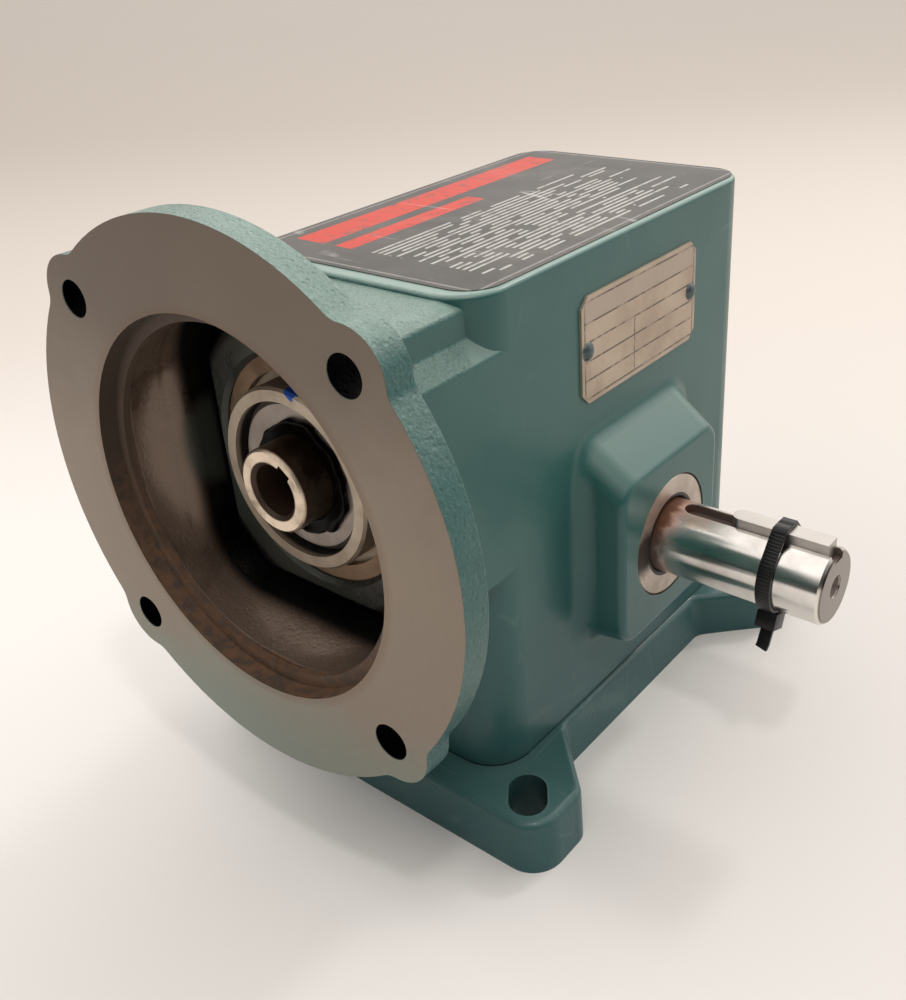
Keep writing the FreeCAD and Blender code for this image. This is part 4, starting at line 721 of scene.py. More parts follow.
def makeWormSteel():
    look = quillLook
    material, tree, shader, place = newMaterial("wormSteel")
    spin = wormSpindle(tree, place)
    marks = turnedMarks(tree, spin, look["pitch"])
    cloud = noise(tree, place, *look["cloud"])
    colour = blendColour(tree, fade(tree, cloud, *look["neckEdge"]), look["dark"], look["brown"])
    colour = blendColour(tree, fade(tree, spin["Along"], *look["threadFrom"]), colour, look["thread"])
    turned = blendColour(tree, fade(tree, cloud, *look["endEdge"]), look["pale"], look["dark"])
    colour = blendColour(tree, fade(tree, spin["Along"], *look["end"]), colour, turned)
    bore = times(tree, fade(tree, spin["Radius"], *look["boreRadius"]),
                 fade(tree, spin["Along"], *look["boreEnd"]))
    colour = blendColour(tree, bore, colour, blendColour(tree, cloud, look["bore"], look["brown"]))
    rough = blendValue(tree, bore, spread(tree, cloud, *look["rough"]), look["boreRough"])
    surface(tree, shader, colour, rough, blendValue(tree, bore, look["metal"], look["boreMetal"]))
    bumpFrom(tree, shader, marks["Height"], look["bump"])
    return material


dress(makeWormSteel(), "worm_shaft")


# Output shaft: bright ground steel with rust where it leaves the seal and in the empty key seat
shaftLook = {"bright": rgb(230, 226, 221), "grey": rgb(190, 184, 178), "rust": rgb(182, 98, 30),
             "deep": rgb(72, 42, 24), "end": rgb(128, 120, 113), "pitch": 0.00022,
             "cloud": (45.0, 5.0, 0.6), "cloudEdge": (0.4, 0.8), "rough": (0.12, 0.21), "bump": 0.000003,
             "keyGrey": 0.6, "keyRough": 0.12, "endX": 0.1200, "edge": 0.0003, "blur": 0.0004,
             "rustPull": (0.5, 1.0, 1.0), "rustNoise": (120.0, 4.0, 0.6), "rustWander": -0.016,
             "rustReach": (0.0675, 0.0535), "deepReach": (0.0600, 0.0560), "rustTop": (0.0, 0.0095),
             "rustBelow": 0.22, "rustShare": 0.85, "rustRough": 0.5, "rustMetal": 0.45, "seatHalf": 0.0034,
             "seatRadius": 0.0122, "seatFloor": 0.0080, "seatBlur": 0.0008, "centreRadius": 0.0043,
             "centreEdge": 0.0002, "centreDepth": (-0.012, -0.011)}


def shaftRust(tree, place, spin):
    # masks of the orange rust and of the dark brown at the seal, in the key seat and in the centre hole
    look = shaftLook
    x, y, z = axes(tree, place)
    ragged = noise(tree, stretched(tree, place, look["rustPull"]), *look["rustNoise"])
    reach = plus(tree, spin["Along"], times(tree, ragged, look["rustWander"]))
    top = fade(tree, minus(tree, z, outputHeight), *look["rustTop"])
    rust = times(tree, fade(tree, reach, *look["rustReach"]), spread(tree, top, look["rustBelow"], 1.0))
    seat = allOf(tree, under(tree, size(tree, y), look["seatHalf"], look["edge"]),
                 past(tree, z, outputHeight + look["seatFloor"], look["seatBlur"]),
                 under(tree, spin["Radius"], look["seatRadius"], look["edge"]),
                 under(tree, spin["Along"], look["endX"], look["blur"]))
    centre = allOf(tree, under(tree, spin["Radius"], look["centreRadius"], look["centreEdge"]),
                   fade(tree, spin["Along"], *[look["endX"] + depth for depth in look["centreDepth"]]),
                   under(tree, spin["Along"], look["endX"], look["edge"]))
    return rust, anyOf(tree, fade(tree, reach, *look["deepReach"]), seat, centre)


def makeShaftSteel(name, rusty):
    look = shaftLook
    material, tree, shader, place = newMaterial(name)
    spin = outputSpindle(tree, place)
    cloud = noise(tree, place, *look["cloud"])
    colour = blendColour(tree, fade(tree, cloud, *look["cloudEdge"]), look["bright"], look["grey"])
    rough = spread(tree, cloud, *look["rough"])
    if rusty:
        colour = blendColour(tree, past(tree, spin["Along"], look["endX"], look["blur"]), colour, look["end"])
        rust, deep = shaftRust(tree, place, spin)
        colour = blendColour(tree, rust, colour, look["rust"], look["rustShare"])
        colour = blendColour(tree, deep, colour, look["deep"], look["rustShare"])
        dull = anyOf(tree, rust, deep)
        rough = blendValue(tree, dull, rough, look["rustRough"])
        metal = blendValue(tree, dull, 1.0, look["rustMetal"])
    else:
        colour = blendColour(tree, look["keyGrey"], colour, look["end"])
        rough = plus(tree, rough, look["keyRough"])
        metal = 1.0
    surface(tree, shader, colour, rough, metal)
    bumpFrom(tree, shader, turnedMarks(tree, spin, look["pitch"])["Height"], look["bump"])
    return material


dress(makeShaftSteel("shaftSteel", True), "output_shaft")
dress(makeShaftSteel("keySteel", False), "output_key", "wheel_key", "wheel_spacer")


# Blackened screws and plugs
blackLook = {"black": rgb(44, 42, 40), "worn": rgb(120, 114, 106), "brown": rgb(66, 50, 38),
             "cloud": (150.0, 5.0, 0.6), "brownEdge": (0.5, 0.8),
             "rubAt": {"Reach": 0.0007, "Break": 300.0}, "rubShare": 0.7, "rough": (0.30, 0.48),
             "metal": (0.55, 0.95), "grain": (1800.0, 3.0, 0.6), "bump": 0.00002}


def makeBlackOxide():
    look = blackLook
    material, tree, shader, place = newMaterial("blackOxide")
    cloud = noise(tree, place, *look["cloud"])
    colour = blendColour(tree, fade(tree, cloud, *look["brownEdge"]), look["black"], look["brown"])
    rub = maskFrom(tree, edgeRubGroup, place, look["rubAt"])
    colour = blendColour(tree, rub, colour, look["worn"], look["rubShare"])
    surface(tree, shader, colour, spread(tree, cloud, *look["rough"]), spread(tree, rub, *look["metal"]))
    bumpFrom(tree, shader, noise(tree, place, *look["grain"]), look["bump"])
    return material


dress(makeBlackOxide(), "base_screws", "side_cover_screws", "vent_plug", "drain_plug")


# Rubber lips and the fibre gasket; rough is dry, then smeared
softLooks = {
    "lipRubber": {
        "nodes": ["input_seal_lip", "output_seal_lip", "carrier_o_ring"], "colour": rgb(20, 19, 18),
        "other": rgb(38, 34, 30), "rough": (0.5, 0.24), "cloud": (260.0, 5.0, 0.65), "bump": 0.00006,
        "smearAt": {"Size": 70.0, "Cover": 0.5}},
    "gasketFibre": {
        "nodes": ["side_cover_gasket"], "colour": rgb(92, 82, 66), "other": rgb(64, 56, 46),
        "rough": (0.9, 0.7), "cloud": (900.0, 5.0, 0.65), "bump": 0.0001,
        "smearAt": {"Size": 70.0, "Cover": 0.5}},
}


def makeSoft(name, look):
    material, tree, shader, place = newMaterial(name)
    cloud = noise(tree, place, *look["cloud"])
    smear = maskFrom(tree, stainGroup, place, look["smearAt"])
    surface(tree, shader, blendColour(tree, cloud, look["colour"], look["other"]),
            blendValue(tree, smear, *look["rough"]))
    bumpFrom(tree, shader, cloud, look["bump"])
    return material


for softName, softLook in softLooks.items():
    dress(makeSoft(softName, softLook), *softLook["nodes"])
print("steels, rubber and fibre ready")


# Rating plate: pale brushed metal with an etched blank form
plateLook = {"metal": rgb(190, 174, 156), "warm": rgb(170, 152, 134), "ink": rgb(74, 64, 58),
             "band": rgb(172, 155, 140), "inset": 0.0016, "line": 0.00045, "lineSoft": 0.00012,
             "soft": 0.0001, "rows": 4, "bandHeight": 0.0068, "split": 0.43,
             "brushPull": (60.0, 6.0, 300.0), "brush": (9.0, 4.0, 0.7), "brushShare": 0.25,
             "cloud": (60.0, 4.0, 0.6), "cloudEdge": (0.35, 0.7), "wear": (240.0, 4.0, 0.6),
             "wearEdge": (0.62, 0.45), "wearShare": (0.25, 0.9), "bandShare": 0.75, "rough": (0.36, 0.55),
             "metalBare": 0.55, "metalInk": 0.1, "brushHeight": 0.15, "bump": 0.00004}


def plateForm(tree, place):
    # masks of the etched lines and of the band along the top
    look = plateLook
    low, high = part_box("name_plate")
    x, y, z = axes(tree, place)
    left, right = low.y + look["inset"], high.y - look["inset"]
    foot, top = low.z + look["inset"], high.z - look["inset"]
    bandFoot = top - look["bandHeight"]
    rowGap = (bandFoot - foot) / look["rows"]

    def stroke(value, where):
        return under(tree, size(tree, minus(tree, value, where)), look["line"] / 2, look["lineSoft"])

    across = between(tree, y, left, right, look["soft"])
    upright = between(tree, z, foot, top, look["soft"])
    lines = [times(tree, stroke(y, where), upright) for where in (left, right)]
    levels = [foot, top] + [foot + rowGap * row for row in range(1, look["rows"] + 1)]
    lines += [times(tree, stroke(z, level), across) for level in levels]
    split = left + (right - left) * look["split"]
    lines.append(times(tree, stroke(y, split), between(tree, z, foot, bandFoot - rowGap, look["soft"])))
    return anyOf(tree, *lines), times(tree, between(tree, z, bandFoot, top, look["soft"]), across)


def makePlateMetal():
    look = plateLook
    material, tree, shader, place = newMaterial("plateMetal")
    ink, band = plateForm(tree, place)
    brushed = noise(tree, stretched(tree, place, look["brushPull"]), *look["brush"])
    cloud = noise(tree, place, *look["cloud"])
    colour = blendColour(tree, fade(tree, cloud, *look["cloudEdge"]), look["metal"], look["warm"])
    colour = blendColour(tree, brushed, colour, look["warm"], look["brushShare"])
    colour = blendColour(tree, band, colour, look["band"], look["bandShare"])
    worn = spread(tree, fade(tree, noise(tree, place, *look["wear"]), *look["wearEdge"]), *look["wearShare"])
    colour = blendColour(tree, times(tree, ink, worn), colour, look["ink"])
    surface(tree, shader, colour, spread(tree, brushed, *look["rough"]),
            blendValue(tree, anyOf(tree, ink, band), look["metalBare"], look["metalInk"]))
    bumpFrom(tree, shader, minus(tree, times(tree, brushed, look["brushHeight"]), ink), look["bump"])
    return material


# Drive pins of the plate, touched by paint
pinLook = {"paint": rgb(40, 66, 70), "steel": rgb(150, 150, 146),
           "rubAt": {"Reach": 0.0008, "Break": 500.0}, "rubShare": 0.6, "cloud": (600.0, 4.0, 0.6),
           "cloudShare": 0.35, "rough": (0.24, 0.42), "metal": (0.3, 0.9), "bump": 0.00003}


def makePinSteel():
    look = pinLook
    material, tree, shader, place = newMaterial("pinSteel")
    rub = maskFrom(tree, edgeRubGroup, place, look["rubAt"])
    cloud = noise(tree, place, *look["cloud"])
    colour = blendColour(tree, cloud, look["paint"], look["steel"], look["cloudShare"])
    colour = blendColour(tree, rub, colour, look["steel"], look["rubShare"])
    surface(tree, shader, colour, spread(tree, cloud, *look["rough"]), spread(tree, rub, *look["metal"]))
    bumpFrom(tree, shader, cloud, look["bump"])
    return material


# Deck label: grey printed film with plain bars and hairlines; a bar is left, right, front and rear
labelLook = {
    "film": rgb(88, 84, 79), "shade": rgb(76, 73, 69), "bar": rgb(203, 62, 44), "hair": rgb(206, 204, 198),
    "cloud": (26.0, 5.0, 0.6), "cloudEdge": (0.3, 0.7), "soft": 0.00015,
    "bars": [(-0.0385, -0.0265, -0.0580, 0.0640), (-0.0215, -0.0145, -0.0580, 0.0060)], "barHeight": 0.2,
    "wear": (320.0, 4.0, 0.65), "wearEdge": (0.68, 0.5), "wearShare": (0.45, 1.0), "hairStart": -0.0070,
    "hairEnd": 0.0395, "hairFront": (-0.0580, -0.0578), "hairRear": (0.020, 0.066), "hairGap": 0.0023,
    "hairHalf": 0.00042, "hairShare": 0.75, "dash": 0.0052, "dashShift": 0.02, "dashGaps": 0.22,
    "border": 0.0022, "borderHalf": 0.00035, "borderShare": 0.4, "dustAt": {"Size": 30.0, "Cover": 0.5},
    "dustShare": 0.14, "dustRough": 0.66, "scuffAt": {"Count": 30.0}, "scuffShare": 0.4,
    "rough": (0.46, 0.56), "gloss": 0.28, "bump": 0.00003,
}


def labelHairs(tree, x, y):
    # hairlines run along the case, each ending at its own place and broken into dashes
    look = labelLook
    step = calc(tree, "DIVIDE", minus(tree, x, look["hairStart"]), look["hairGap"])
    row = calc(tree, "FLOOR", step)
    inRow = times(tree, minus(tree, minus(tree, step, row), 0.5), look["hairGap"])
    line = under(tree, size(tree, inRow), look["hairHalf"], look["soft"])
    rowChance = chance(tree, "1D", "W", row)
    stop = calc(tree, "LESS_THAN", y, spread(tree, rowChance, *look["hairRear"]))
    shifted = plus(tree, y, times(tree, rowChance, look["dashShift"]))
    pair = tree.nodes.new("ShaderNodeCombineXYZ")
    feed(tree, row, pair.inputs["X"])
    feed(tree, calc(tree, "FLOOR", calc(tree, "DIVIDE", shifted, look["dash"])), pair.inputs["Y"])
    dash = calc(tree, "GREATER_THAN", chance(tree, "2D", "Vector", pair.outputs["Vector"]), look["dashGaps"])
    return allOf(tree, line, stop, dash, fade(tree, y, *look["hairFront"]),
                 between(tree, x, look["hairStart"], look["hairEnd"], look["soft"]))


def labelBorder(tree, x, y):
    look = labelLook
    low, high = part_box("top_label")
    edgeX = minus(tree, high.x - look["border"], size(tree, x))
    edgeY = minus(tree, (high.y - low.y) / 2 - look["border"],
                  size(tree, minus(tree, y, (low.y + high.y) / 2)))
    apart = size(tree, calc(tree, "MINIMUM", edgeX, edgeY))
    return under(tree, apart, look["borderHalf"], look["soft"])


def makeLabelFilm():
    look = labelLook
    material, tree, shader, place = newMaterial("labelFilm")
    x, y, z = axes(tree, place)
    cloud = noise(tree, place, *look["cloud"])
    colour = blendColour(tree, fade(tree, cloud, *look["cloudEdge"]), look["film"], look["shade"])
    bars = anyOf(tree, *[times(tree, between(tree, x, left, right, look["soft"]),
                               between(tree, y, front, rear, look["soft"]))
                         for left, right, front, rear in look["bars"]])
    worn = spread(tree, fade(tree, noise(tree, place, *look["wear"]), *look["wearEdge"]), *look["wearShare"])
    colour = blendColour(tree, times(tree, bars, worn), colour, look["bar"])
    pale = anyOf(tree, labelHairs(tree, x, y), times(tree, labelBorder(tree, x, y), look["borderShare"]))
    colour = blendColour(tree, times(tree, pale, worn), colour, look["hair"], look["hairShare"])
    dust = maskFrom(tree, stainGroup, place, look["dustAt"])
    colour = blendColour(tree, dust, colour, look["hair"], look["dustShare"])
    scuff = maskFrom(tree, scuffsGroup, place, look["scuffAt"])
    colour = blendColour(tree, scuff, colour, look["hair"], look["scuffShare"])
    rough = blendValue(tree, dust, spread(tree, cloud, *look["rough"]), look["dustRough"])
    surface(tree, shader, colour, rough, gloss=look["gloss"])
    bumpFrom(tree, shader, plus(tree, cloud, times(tree, bars, look["barHeight"])), look["bump"])
    return material


dress(makePlateMetal(), "name_plate")
dress(makePinSteel(), "name_plate_pins")
dress(makeLabelFilm(), "top_label")
print("plate and label printed")


# Modelling helpers
meshLook = {"weld": 0.000005, "smoothAngle": 35.0}


def setMode(mode):
    bpy.ops.object.mode_set(mode=mode)


def clearSelection():
    if bpy.context.object and bpy.context.object.mode != "OBJECT":
        setMode("OBJECT")
    bpy.ops.object.select_all(action="DESELECT")


def pick(piece):
    clearSelection()
    piece.select_set(True)
    bpy.context.view_layer.objects.active = piece


def selectOnly(piece, kind, wanted):
    # edit mode with only the wanted faces or edges selected
    pick(piece)
    setMode("EDIT")
    bpy.ops.mesh.select_mode(type=kind)
    bpy.ops.mesh.select_all(action="DESELECT")
    setMode("OBJECT")
    for item in piece.data.polygons if kind == "FACE" else piece.data.edges:
        item.select = bool(wanted(item))
    setMode("EDIT")


def drawOut(y, z):
    bpy.ops.mesh.extrude_region_move(TRANSFORM_OT_translate={"value": (0, y, z)})


def bakePlace():
    bpy.ops.object.transform_apply(location=True, rotation=True, scale=True)


def weld(threshold):
    # meeting points joined and normals turned outward, in edit mode
    bpy.ops.mesh.select_all(action="SELECT")
    bpy.ops.mesh.remove_doubles(threshold=threshold)
    bpy.ops.mesh.normals_make_consistent(inside=False)


def applyModifier(piece, kind, **settings):
    pick(piece)
    modifier = piece.modifiers.new(kind.lower(), kind)
    for key, value in settings.items():
        setattr(modifier, key, value)
    bpy.ops.object.modifier_apply(modifier=modifier.name)


def settle(piece):
    # place, turn and size go into the mesh
    pick(piece)
    bakePlace()
    setMode("EDIT")
    weld(meshLook["weld"])
    setMode("OBJECT")
    bpy.ops.object.shade_smooth_by_angle(angle=math.radians(meshLook["smoothAngle"]))


# Black nylon tie that keeps the key on the shaft; a bevel is width, segments and least angle
tieLook = {"x": 0.1030, "width": 0.0048, "thickness": 0.0011, "radius": 0.01287, "keyHalf": 0.00334,
           "keyTop": 0.01592, "pitch": 0.00115, "weld": 0.00002, "outerShare": 0.6, "sideSlope": 0.5,
           "ribInset": 0.00014, "ribHeight": 0.00009, "strapBevel": (0.00012, 2, 50.0),
           "headAngle": -202.0, "headSize": (0.0066, 0.0074, 0.0056), "headBevel": (0.00035, 3, 40.0),
           "headTop": 0.9, "mouthRim": 0.0009, "mouthDepth": 0.0011, "tailInset": 0.0004, "tailThin": 0.32,
           "tailRoot": 0.0022, "tail": 0.0062, "tailLeans": (0.0002, 0.0002, 0.0002, 0.0001),
           "tailTwist": 14.0, "nylon": rgb(10, 10, 11), "worn": rgb(26, 26, 27),
           "cloud": (500.0, 4.0, 0.6), "rubAt": {"Reach": 0.0004, "Break": 700.0}, "rubShare": 0.5,
           "rough": (0.26, 0.40), "gloss": 0.3, "bump": 0.00002}


def roundEdges(piece, width, segments, angle):
    applyModifier(piece, "BEVEL", width=width, segments=segments, limit_method="ANGLE",
                  angle_limit=math.radians(angle))


def tiePath():
    # points (y, z) about the shaft axis, once round from the middle of the key's top
    radius, pitch = tieLook["radius"], tieLook["pitch"]
    corner = (tieLook["keyHalf"], tieLook["keyTop"])
    tangent = math.atan2(corner[1], corner[0]) - math.acos(radius / math.hypot(*corner))
    onShaft = (radius * math.cos(tangent), radius * math.sin(tangent))
    half = [(0.0, corner[1]), corner]
    steps = max(1, round(math.dist(corner, onShaft) / pitch))
    for step in range(1, steps + 1):
        share = step / steps
        half.append(tuple(start + (end - start) * share for start, end in zip(corner, onShaft)))
    sweep = tangent + math.pi / 2
    steps = round(sweep * radius / pitch)
    for step in range(1, steps + 1):
        angle = tangent - sweep * step / steps
        half.append((radius * math.cos(angle), radius * math.sin(angle)))
    return half + [(-y, z) for y, z in reversed(half[1:-1])]


def makeTieStrap():
    look = tieLook
    path = tiePath()
    axis = Vector((look["x"], 0, outputHeight))
    clearSelection()
    bpy.ops.mesh.primitive_plane_add(size=1)
    strap = bpy.context.object
    strap.name = "tieStrap"
    # the plane becomes the first short run on top of the key, then its far edge is drawn round the shaft
    first, second = path[0], path[1]
    strap.scale = (look["width"], second[0] - first[0], 1)
    strap.location = (look["x"], (first[0] + second[0]) / 2, outputHeight + first[1])
    bakePlace()
    corners = strap.data.vertices
    farEdge = max(strap.data.edges, key=lambda edge: sum(corners[end].co.y for end in edge.vertices)).index
    selectOnly(strap, "EDGE", lambda edge: edge.index == farEdge)
    for start, end in zip(path[1:], path[2:] + path[:1]):
        drawOut(end[0] - start[0], end[1] - start[1])
    weld(look["weld"])
    setMode("OBJECT")
    if sum(face.normal.dot(face.center - axis) for face in strap.data.polygons) < 0:
        setMode("EDIT")
        bpy.ops.mesh.flip_normals()
        setMode("OBJECT")
    applyModifier(strap, "SOLIDIFY", thickness=look["thickness"], offset=1.0)

    # each outer face gets a small raised rib
    limit = look["radius"] + look["thickness"] * look["outerShare"]

    def isOuter(face):
        out = face.center - axis
        out.x = 0
        return abs(face.normal.x) < look["sideSlope"] and face.normal.dot(out) > 0 and out.length > limit

    selectOnly(strap, "FACE", isOuter)
    bpy.ops.mesh.inset(thickness=look["ribInset"], depth=look["ribHeight"], use_individual=True)
    setMode("OBJECT")
    roundEdges(strap, *look["strapBevel"])
    settle(strap)
    return strap


def makeTieHead():
    look = tieLook
    deep = look["headSize"][2]
    base = outputHeight + look["radius"] + look["thickness"] * look["outerShare"]
    clearSelection()
    bpy.ops.mesh.primitive_cube_add(size=1, location=(look["x"], 0, base + deep / 2))
    head = bpy.context.object
    head.name = "tieHead"
    head.scale = look["headSize"]
    bpy.ops.object.transform_apply(location=False, rotation=False, scale=True)
    # slot mouth for the strap, then the cut tail drawn out of it
    selectOnly(head, "FACE", lambda face: face.normal.z > look["headTop"])
    bpy.ops.mesh.inset(thickness=look["mouthRim"])
    drawOut(0, -look["mouthDepth"])
    bpy.ops.mesh.inset(thickness=look["tailInset"])
    bpy.ops.transform.resize(value=(1.0, look["tailThin"], 1.0))
    drawOut(0, look["tailRoot"])
    for lean in look["tailLeans"]:
        drawOut(lean, look["tail"] / len(look["tailLeans"]))
    bpy.ops.transform.rotate(value=math.radians(look["tailTwist"]), orient_axis="Y",
                             center_override=(look["x"], 0, base + deep + look["tail"]))
    setMode("OBJECT")
    roundEdges(head, *look["headBevel"])
    # swung round the shaft to hang below it
    bpy.context.view_layer.update()
    turn = Matrix.Translation((0, 0, outputHeight)) @ Matrix.Rotation(math.radians(look["headAngle"]), 4, "X")
    head.matrix_world = turn @ Matrix.Translation((0, 0, -outputHeight)) @ head.matrix_world
    settle(head)
    return head


def makeTieNylon():
    look = tieLook
    material, tree, shader, place = newMaterial("tieNylon")
    cloud = noise(tree, place, *look["cloud"])
    rub = maskFrom(tree, edgeRubGroup, place, look["rubAt"])
    colour = blendColour(tree, cloud, look["nylon"], look["worn"])
    colour = blendColour(tree, rub, colour, look["worn"], look["rubShare"])
    surface(tree, shader, colour, spread(tree, cloud, *look["rough"]), gloss=look["gloss"])
    bumpFrom(tree, shader, cloud, look["bump"])
    return material


tieStrap = makeTieStrap()
tieHead = makeTieHead()
tieNylon = makeTieNylon()
for piece in (tieStrap, tieHead):
    piece.data.materials.append(tieNylon)
    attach(piece, "output")
    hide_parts("cable_tie")
dress(tieNylon, "cable_tie")
print("tie modelled:", len(tieStrap.data.polygons), "and", len(tieHead.data.polygons), "faces")


# Black grease pushed out of the input seal around the motor end of the worm
greaseLook = {"inner": 0.01345, "outer": 0.0177, "shiftX": 0.0022, "shiftZ": 0.0010, "sides": 120,
              "wander": 0.0026, "lump": 0.0070, "rise": 0.0009, "front": 0.00006, "skinCuts": 7,
              "skinSwell": 0.9, "innerRise": 0.35, "skinRise": 0.3, "lumpScale": 0.8, "lumpRise": 0.9,
              "smoothing": 5, "colour": rgb(5, 4, 4), "brown": rgb(13, 9, 7), "cloud": (220.0, 5.0, 0.6),
              "brownEdge": (0.45, 0.75), "rough": (0.18, 0.42), "gloss": 0.06, "ripple": (260.0, 3.0, 0.5),
              "bump": 0.00012}


def cloudTexture(name, scale, depth):
    texture = bpy.data.textures.new(name, "CLOUDS")
    texture.noise_scale = scale
    texture.noise_depth = depth
    return texture


def makeGrease():
    look = greaseLook
    rise = look["rise"]
    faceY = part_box("input_seal_case")[0].y - look["front"]
    towardMotor = (math.pi / 2, 0, 0)
    clearSelection()
    # outer outline: an open tube, pushed in and out by a cloud so that the edge wanders
    bpy.ops.mesh.primitive_cylinder_add(
        vertices=look["sides"], radius=look["outer"], depth=rise / 2, end_fill_type="NOTHING",
        rotation=towardMotor, location=(look["shiftX"], faceY - rise / 4, wormHeight + look["shiftZ"]))
    grease = bpy.context.object
    grease.name = "sealGrease"
    bakePlace()
    outline = cloudTexture("greaseCloud", look["lump"], 1)
    applyModifier(grease, "DISPLACE", texture=outline, texture_coords="LOCAL", direction="NORMAL",
                  strength=look["wander"] * 2, mid_level=0.5)
    # inner ring beside the shaft, then the swollen skin between the two
    pick(grease)
    setMode("EDIT")
    bpy.ops.mesh.select_all(action="DESELECT")
    bpy.ops.mesh.primitive_circle_add(vertices=look["sides"], radius=look["inner"], rotation=towardMotor,
                                      location=(0, faceY - rise * look["innerRise"], wormHeight))
    setMode("OBJECT")
    corners = grease.data.vertices
    skinY = faceY - rise * look["skinRise"]
    selectOnly(grease, "EDGE", lambda edge: all(corners[index].co.y < skinY for index in edge.vertices))
    bpy.ops.mesh.bridge_edge_loops(number_cuts=look["skinCuts"], interpolation="SURFACE",
                                   smoothness=look["skinSwell"])
    setMode("OBJECT")
    settle(grease)
    lumps = cloudTexture("greaseLumps", look["lump"] * look["lumpScale"], 2)
    applyModifier(grease, "DISPLACE", texture=lumps, texture_coords="LOCAL", direction="Y",
                  strength=-rise * look["lumpRise"], mid_level=0.0)
    applyModifier(grease, "SMOOTH", factor=0.5, iterations=look["smoothing"])
    applyModifier(grease, "SUBSURF", levels=1, render_levels=1)
    settle(grease)
    return grease


def makeGreaseBlack():
    look = greaseLook
    material, tree, shader, place = newMaterial("greaseBlack")
    cloud = noise(tree, place, *look["cloud"])
    colour = blendColour(tree, fade(tree, cloud, *look["brownEdge"]), look["colour"], look["brown"])
    surface(tree, shader, colour, spread(tree, cloud, *look["rough"]), gloss=look["gloss"])
    bumpFrom(tree, shader, noise(tree, place, *look["ripple"]), look["bump"])
    return material


sealGrease = makeGrease()
sealGrease.data.materials.append(makeGreaseBlack())
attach(sealGrease, "gear_case")
print("grease modelled:", len(sealGrease.data.polygons), "faces")


# Studio: a large pale floor under a soft ceiling, brighter behind the object, dark at the front horizon
stageLook = {"radius": 9.0, "sides": 96, "floor": rgb(238, 235, 231), "shade": rgb(235, 231, 227),
             "right": rgb(220, 215, 210), "middle": rgb(219, 210, 202), "far": rgb(193, 184, 175),
             "cloud": (2.2, 3.0, 0.5), "cloudEdge": (0.3, 0.7), "across": (0.756, 0.655),
             "depth": (-0.655, 0.756), "rightFrom": (-0.06, 0.16), "middleFrom": (0.0, 0.5),
             "farFrom": (0.3, 1.3), "rough": (0.6, 0.7), "gloss": 0.1}
airLook = {"tint": (1.0, 0.965, 0.935, 1.0), "dim": 0.06, "ceiling": 1.17, "ceilingFrom": (0.25, 0.80),
           "sideFrom": (-0.35, 0.65), "sideShare": (1.2, 0.72), "behind": 1.85, "behindFrom": (0.15, 0.80),
           "behindAbove": (-0.05, 0.25), "backdrop": 0.66, "backTint": (1.0, 0.885, 0.785, 1.0)}
lampLooks = {"glintLight": {"place": (0.50, -0.40, 1.30), "aim": (0, 0, 0.1), "size": 0.12, "power": 2.4},
             "rearLight": {"place": (0.18, 1.05, 1.25), "aim": (0, 0, 0.12), "size": 0.22, "power": 4.0}}
lampTint = (1.0, 0.98, 0.96)


def makeFloor():
    look = stageLook
    clearSelection()
    bpy.ops.mesh.primitive_circle_add(vertices=look["sides"], radius=look["radius"], fill_type="NGON",
                                      location=(0, 0, 0))
    floor = bpy.context.object
    floor.name = "studioFloor"
    material, tree, shader, place = newMaterial("studioPaper")
    x, y, z = axes(tree, place)

    def along(direction):
        return plus(tree, times(tree, x, direction[0]), times(tree, y, direction[1]))

    cloud = noise(tree, place, *look["cloud"])
    colour = blendColour(tree, fade(tree, cloud, *look["cloudEdge"]), look["floor"], look["shade"])
    # painted shadow on the floor to the right of the object, and painted shade that darkens the floor with
    # distance
    colour = blendColour(tree, fade(tree, along(look["across"]), *look["rightFrom"]), colour, look["right"])
    depth = along(look["depth"])
    colour = blendColour(tree, fade(tree, depth, *look["middleFrom"]), colour, look["middle"])
    colour = blendColour(tree, fade(tree, depth, *look["farFrom"]), colour, look["far"])
    surface(tree, shader, colour, spread(tree, cloud, *look["rough"]), gloss=look["gloss"])
    floor.data.materials.append(material)


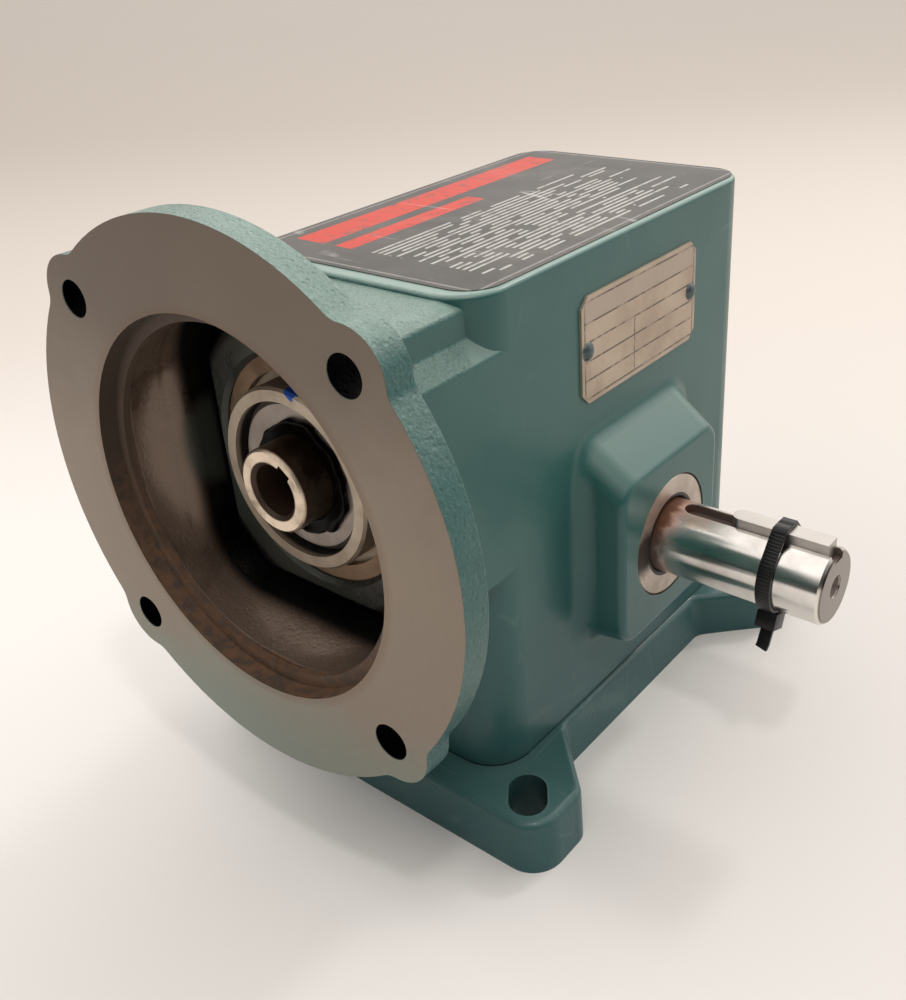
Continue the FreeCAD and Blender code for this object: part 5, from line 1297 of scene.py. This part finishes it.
def makeAir():
    look = airLook
    world = bpy.data.worlds.new("studioAir")
    world.use_nodes = True
    tree = world.node_tree
    x, y, z = axes(tree, tree.nodes.new("ShaderNodeTexCoord").outputs["Generated"])
    ceiling = allOf(tree, fade(tree, z, *look["ceilingFrom"]), look["ceiling"],
                    spread(tree, fade(tree, x, *look["sideFrom"]), *look["sideShare"]))
    behind = allOf(tree, fade(tree, y, *look["behindFrom"]), fade(tree, z, *look["behindAbove"]),
                   look["behind"])
    power = plus(tree, anyOf(tree, ceiling, behind), look["dim"])
    # beyond the floor the camera sees a plain pale backdrop
    seen = tree.nodes.new("ShaderNodeLightPath").outputs["Is Camera Ray"]
    backdrop = tree.nodes["Background"]
    feed(tree, blendColour(tree, seen, look["tint"], look["backTint"]), backdrop.inputs["Color"])
    feed(tree, blendValue(tree, seen, power, look["backdrop"]), backdrop.inputs["Strength"])
    return world


def addLamp(name, look):
    data = bpy.data.lights.new(name, "AREA")
    data.shape = "DISK"
    data.size = look["size"]
    data.energy = look["power"]
    data.color = lampTint
    lamp = bpy.data.objects.new(name, data)
    scene.collection.objects.link(lamp)
    lamp.location = look["place"]
    lamp.rotation_euler = (Vector(look["aim"]) - Vector(look["place"])).to_track_quat("-Z", "Y").to_euler()


scene = bpy.context.scene
makeFloor()
scene.world = makeAir()
for lampName, lampLook in lampLooks.items():
    addLamp(lampName, lampLook)
scene.view_settings.view_transform = "Standard"

# Camera at the photograph's angle, from the fitted view of the flange, plate and shaft
cameraLook = {"place": (0.21893, -0.27947, 0.27287), "azimuth": 40.90, "elevation": 27.72, "roll": -4.10,
              "lens": 39.27, "sensor": 36.0, "shiftX": -0.0192, "shiftY": -0.0362, "nearest": 0.01}


def makeCamera():
    look = cameraLook
    data = bpy.data.cameras.new("photoCamera")
    data.sensor_width = look["sensor"]
    data.lens = look["lens"]
    data.shift_x = look["shiftX"]
    data.shift_y = look["shiftY"]
    data.clip_start = look["nearest"]
    camera = bpy.data.objects.new("photoCamera", data)
    scene.collection.objects.link(camera)
    azimuth, elevation = math.radians(look["azimuth"]), math.radians(look["elevation"])
    ahead = Vector((-math.sin(azimuth) * math.cos(elevation), math.cos(azimuth) * math.cos(elevation),
                    -math.sin(elevation)))
    camera.location = look["place"]
    level = ahead.to_track_quat("-Z", "Y").to_matrix().to_4x4()
    camera.rotation_euler = (level @ Matrix.Rotation(math.radians(look["roll"]), 4, "Z")).to_euler()
    scene.camera = camera


makeCamera()
print("studio and camera ready")
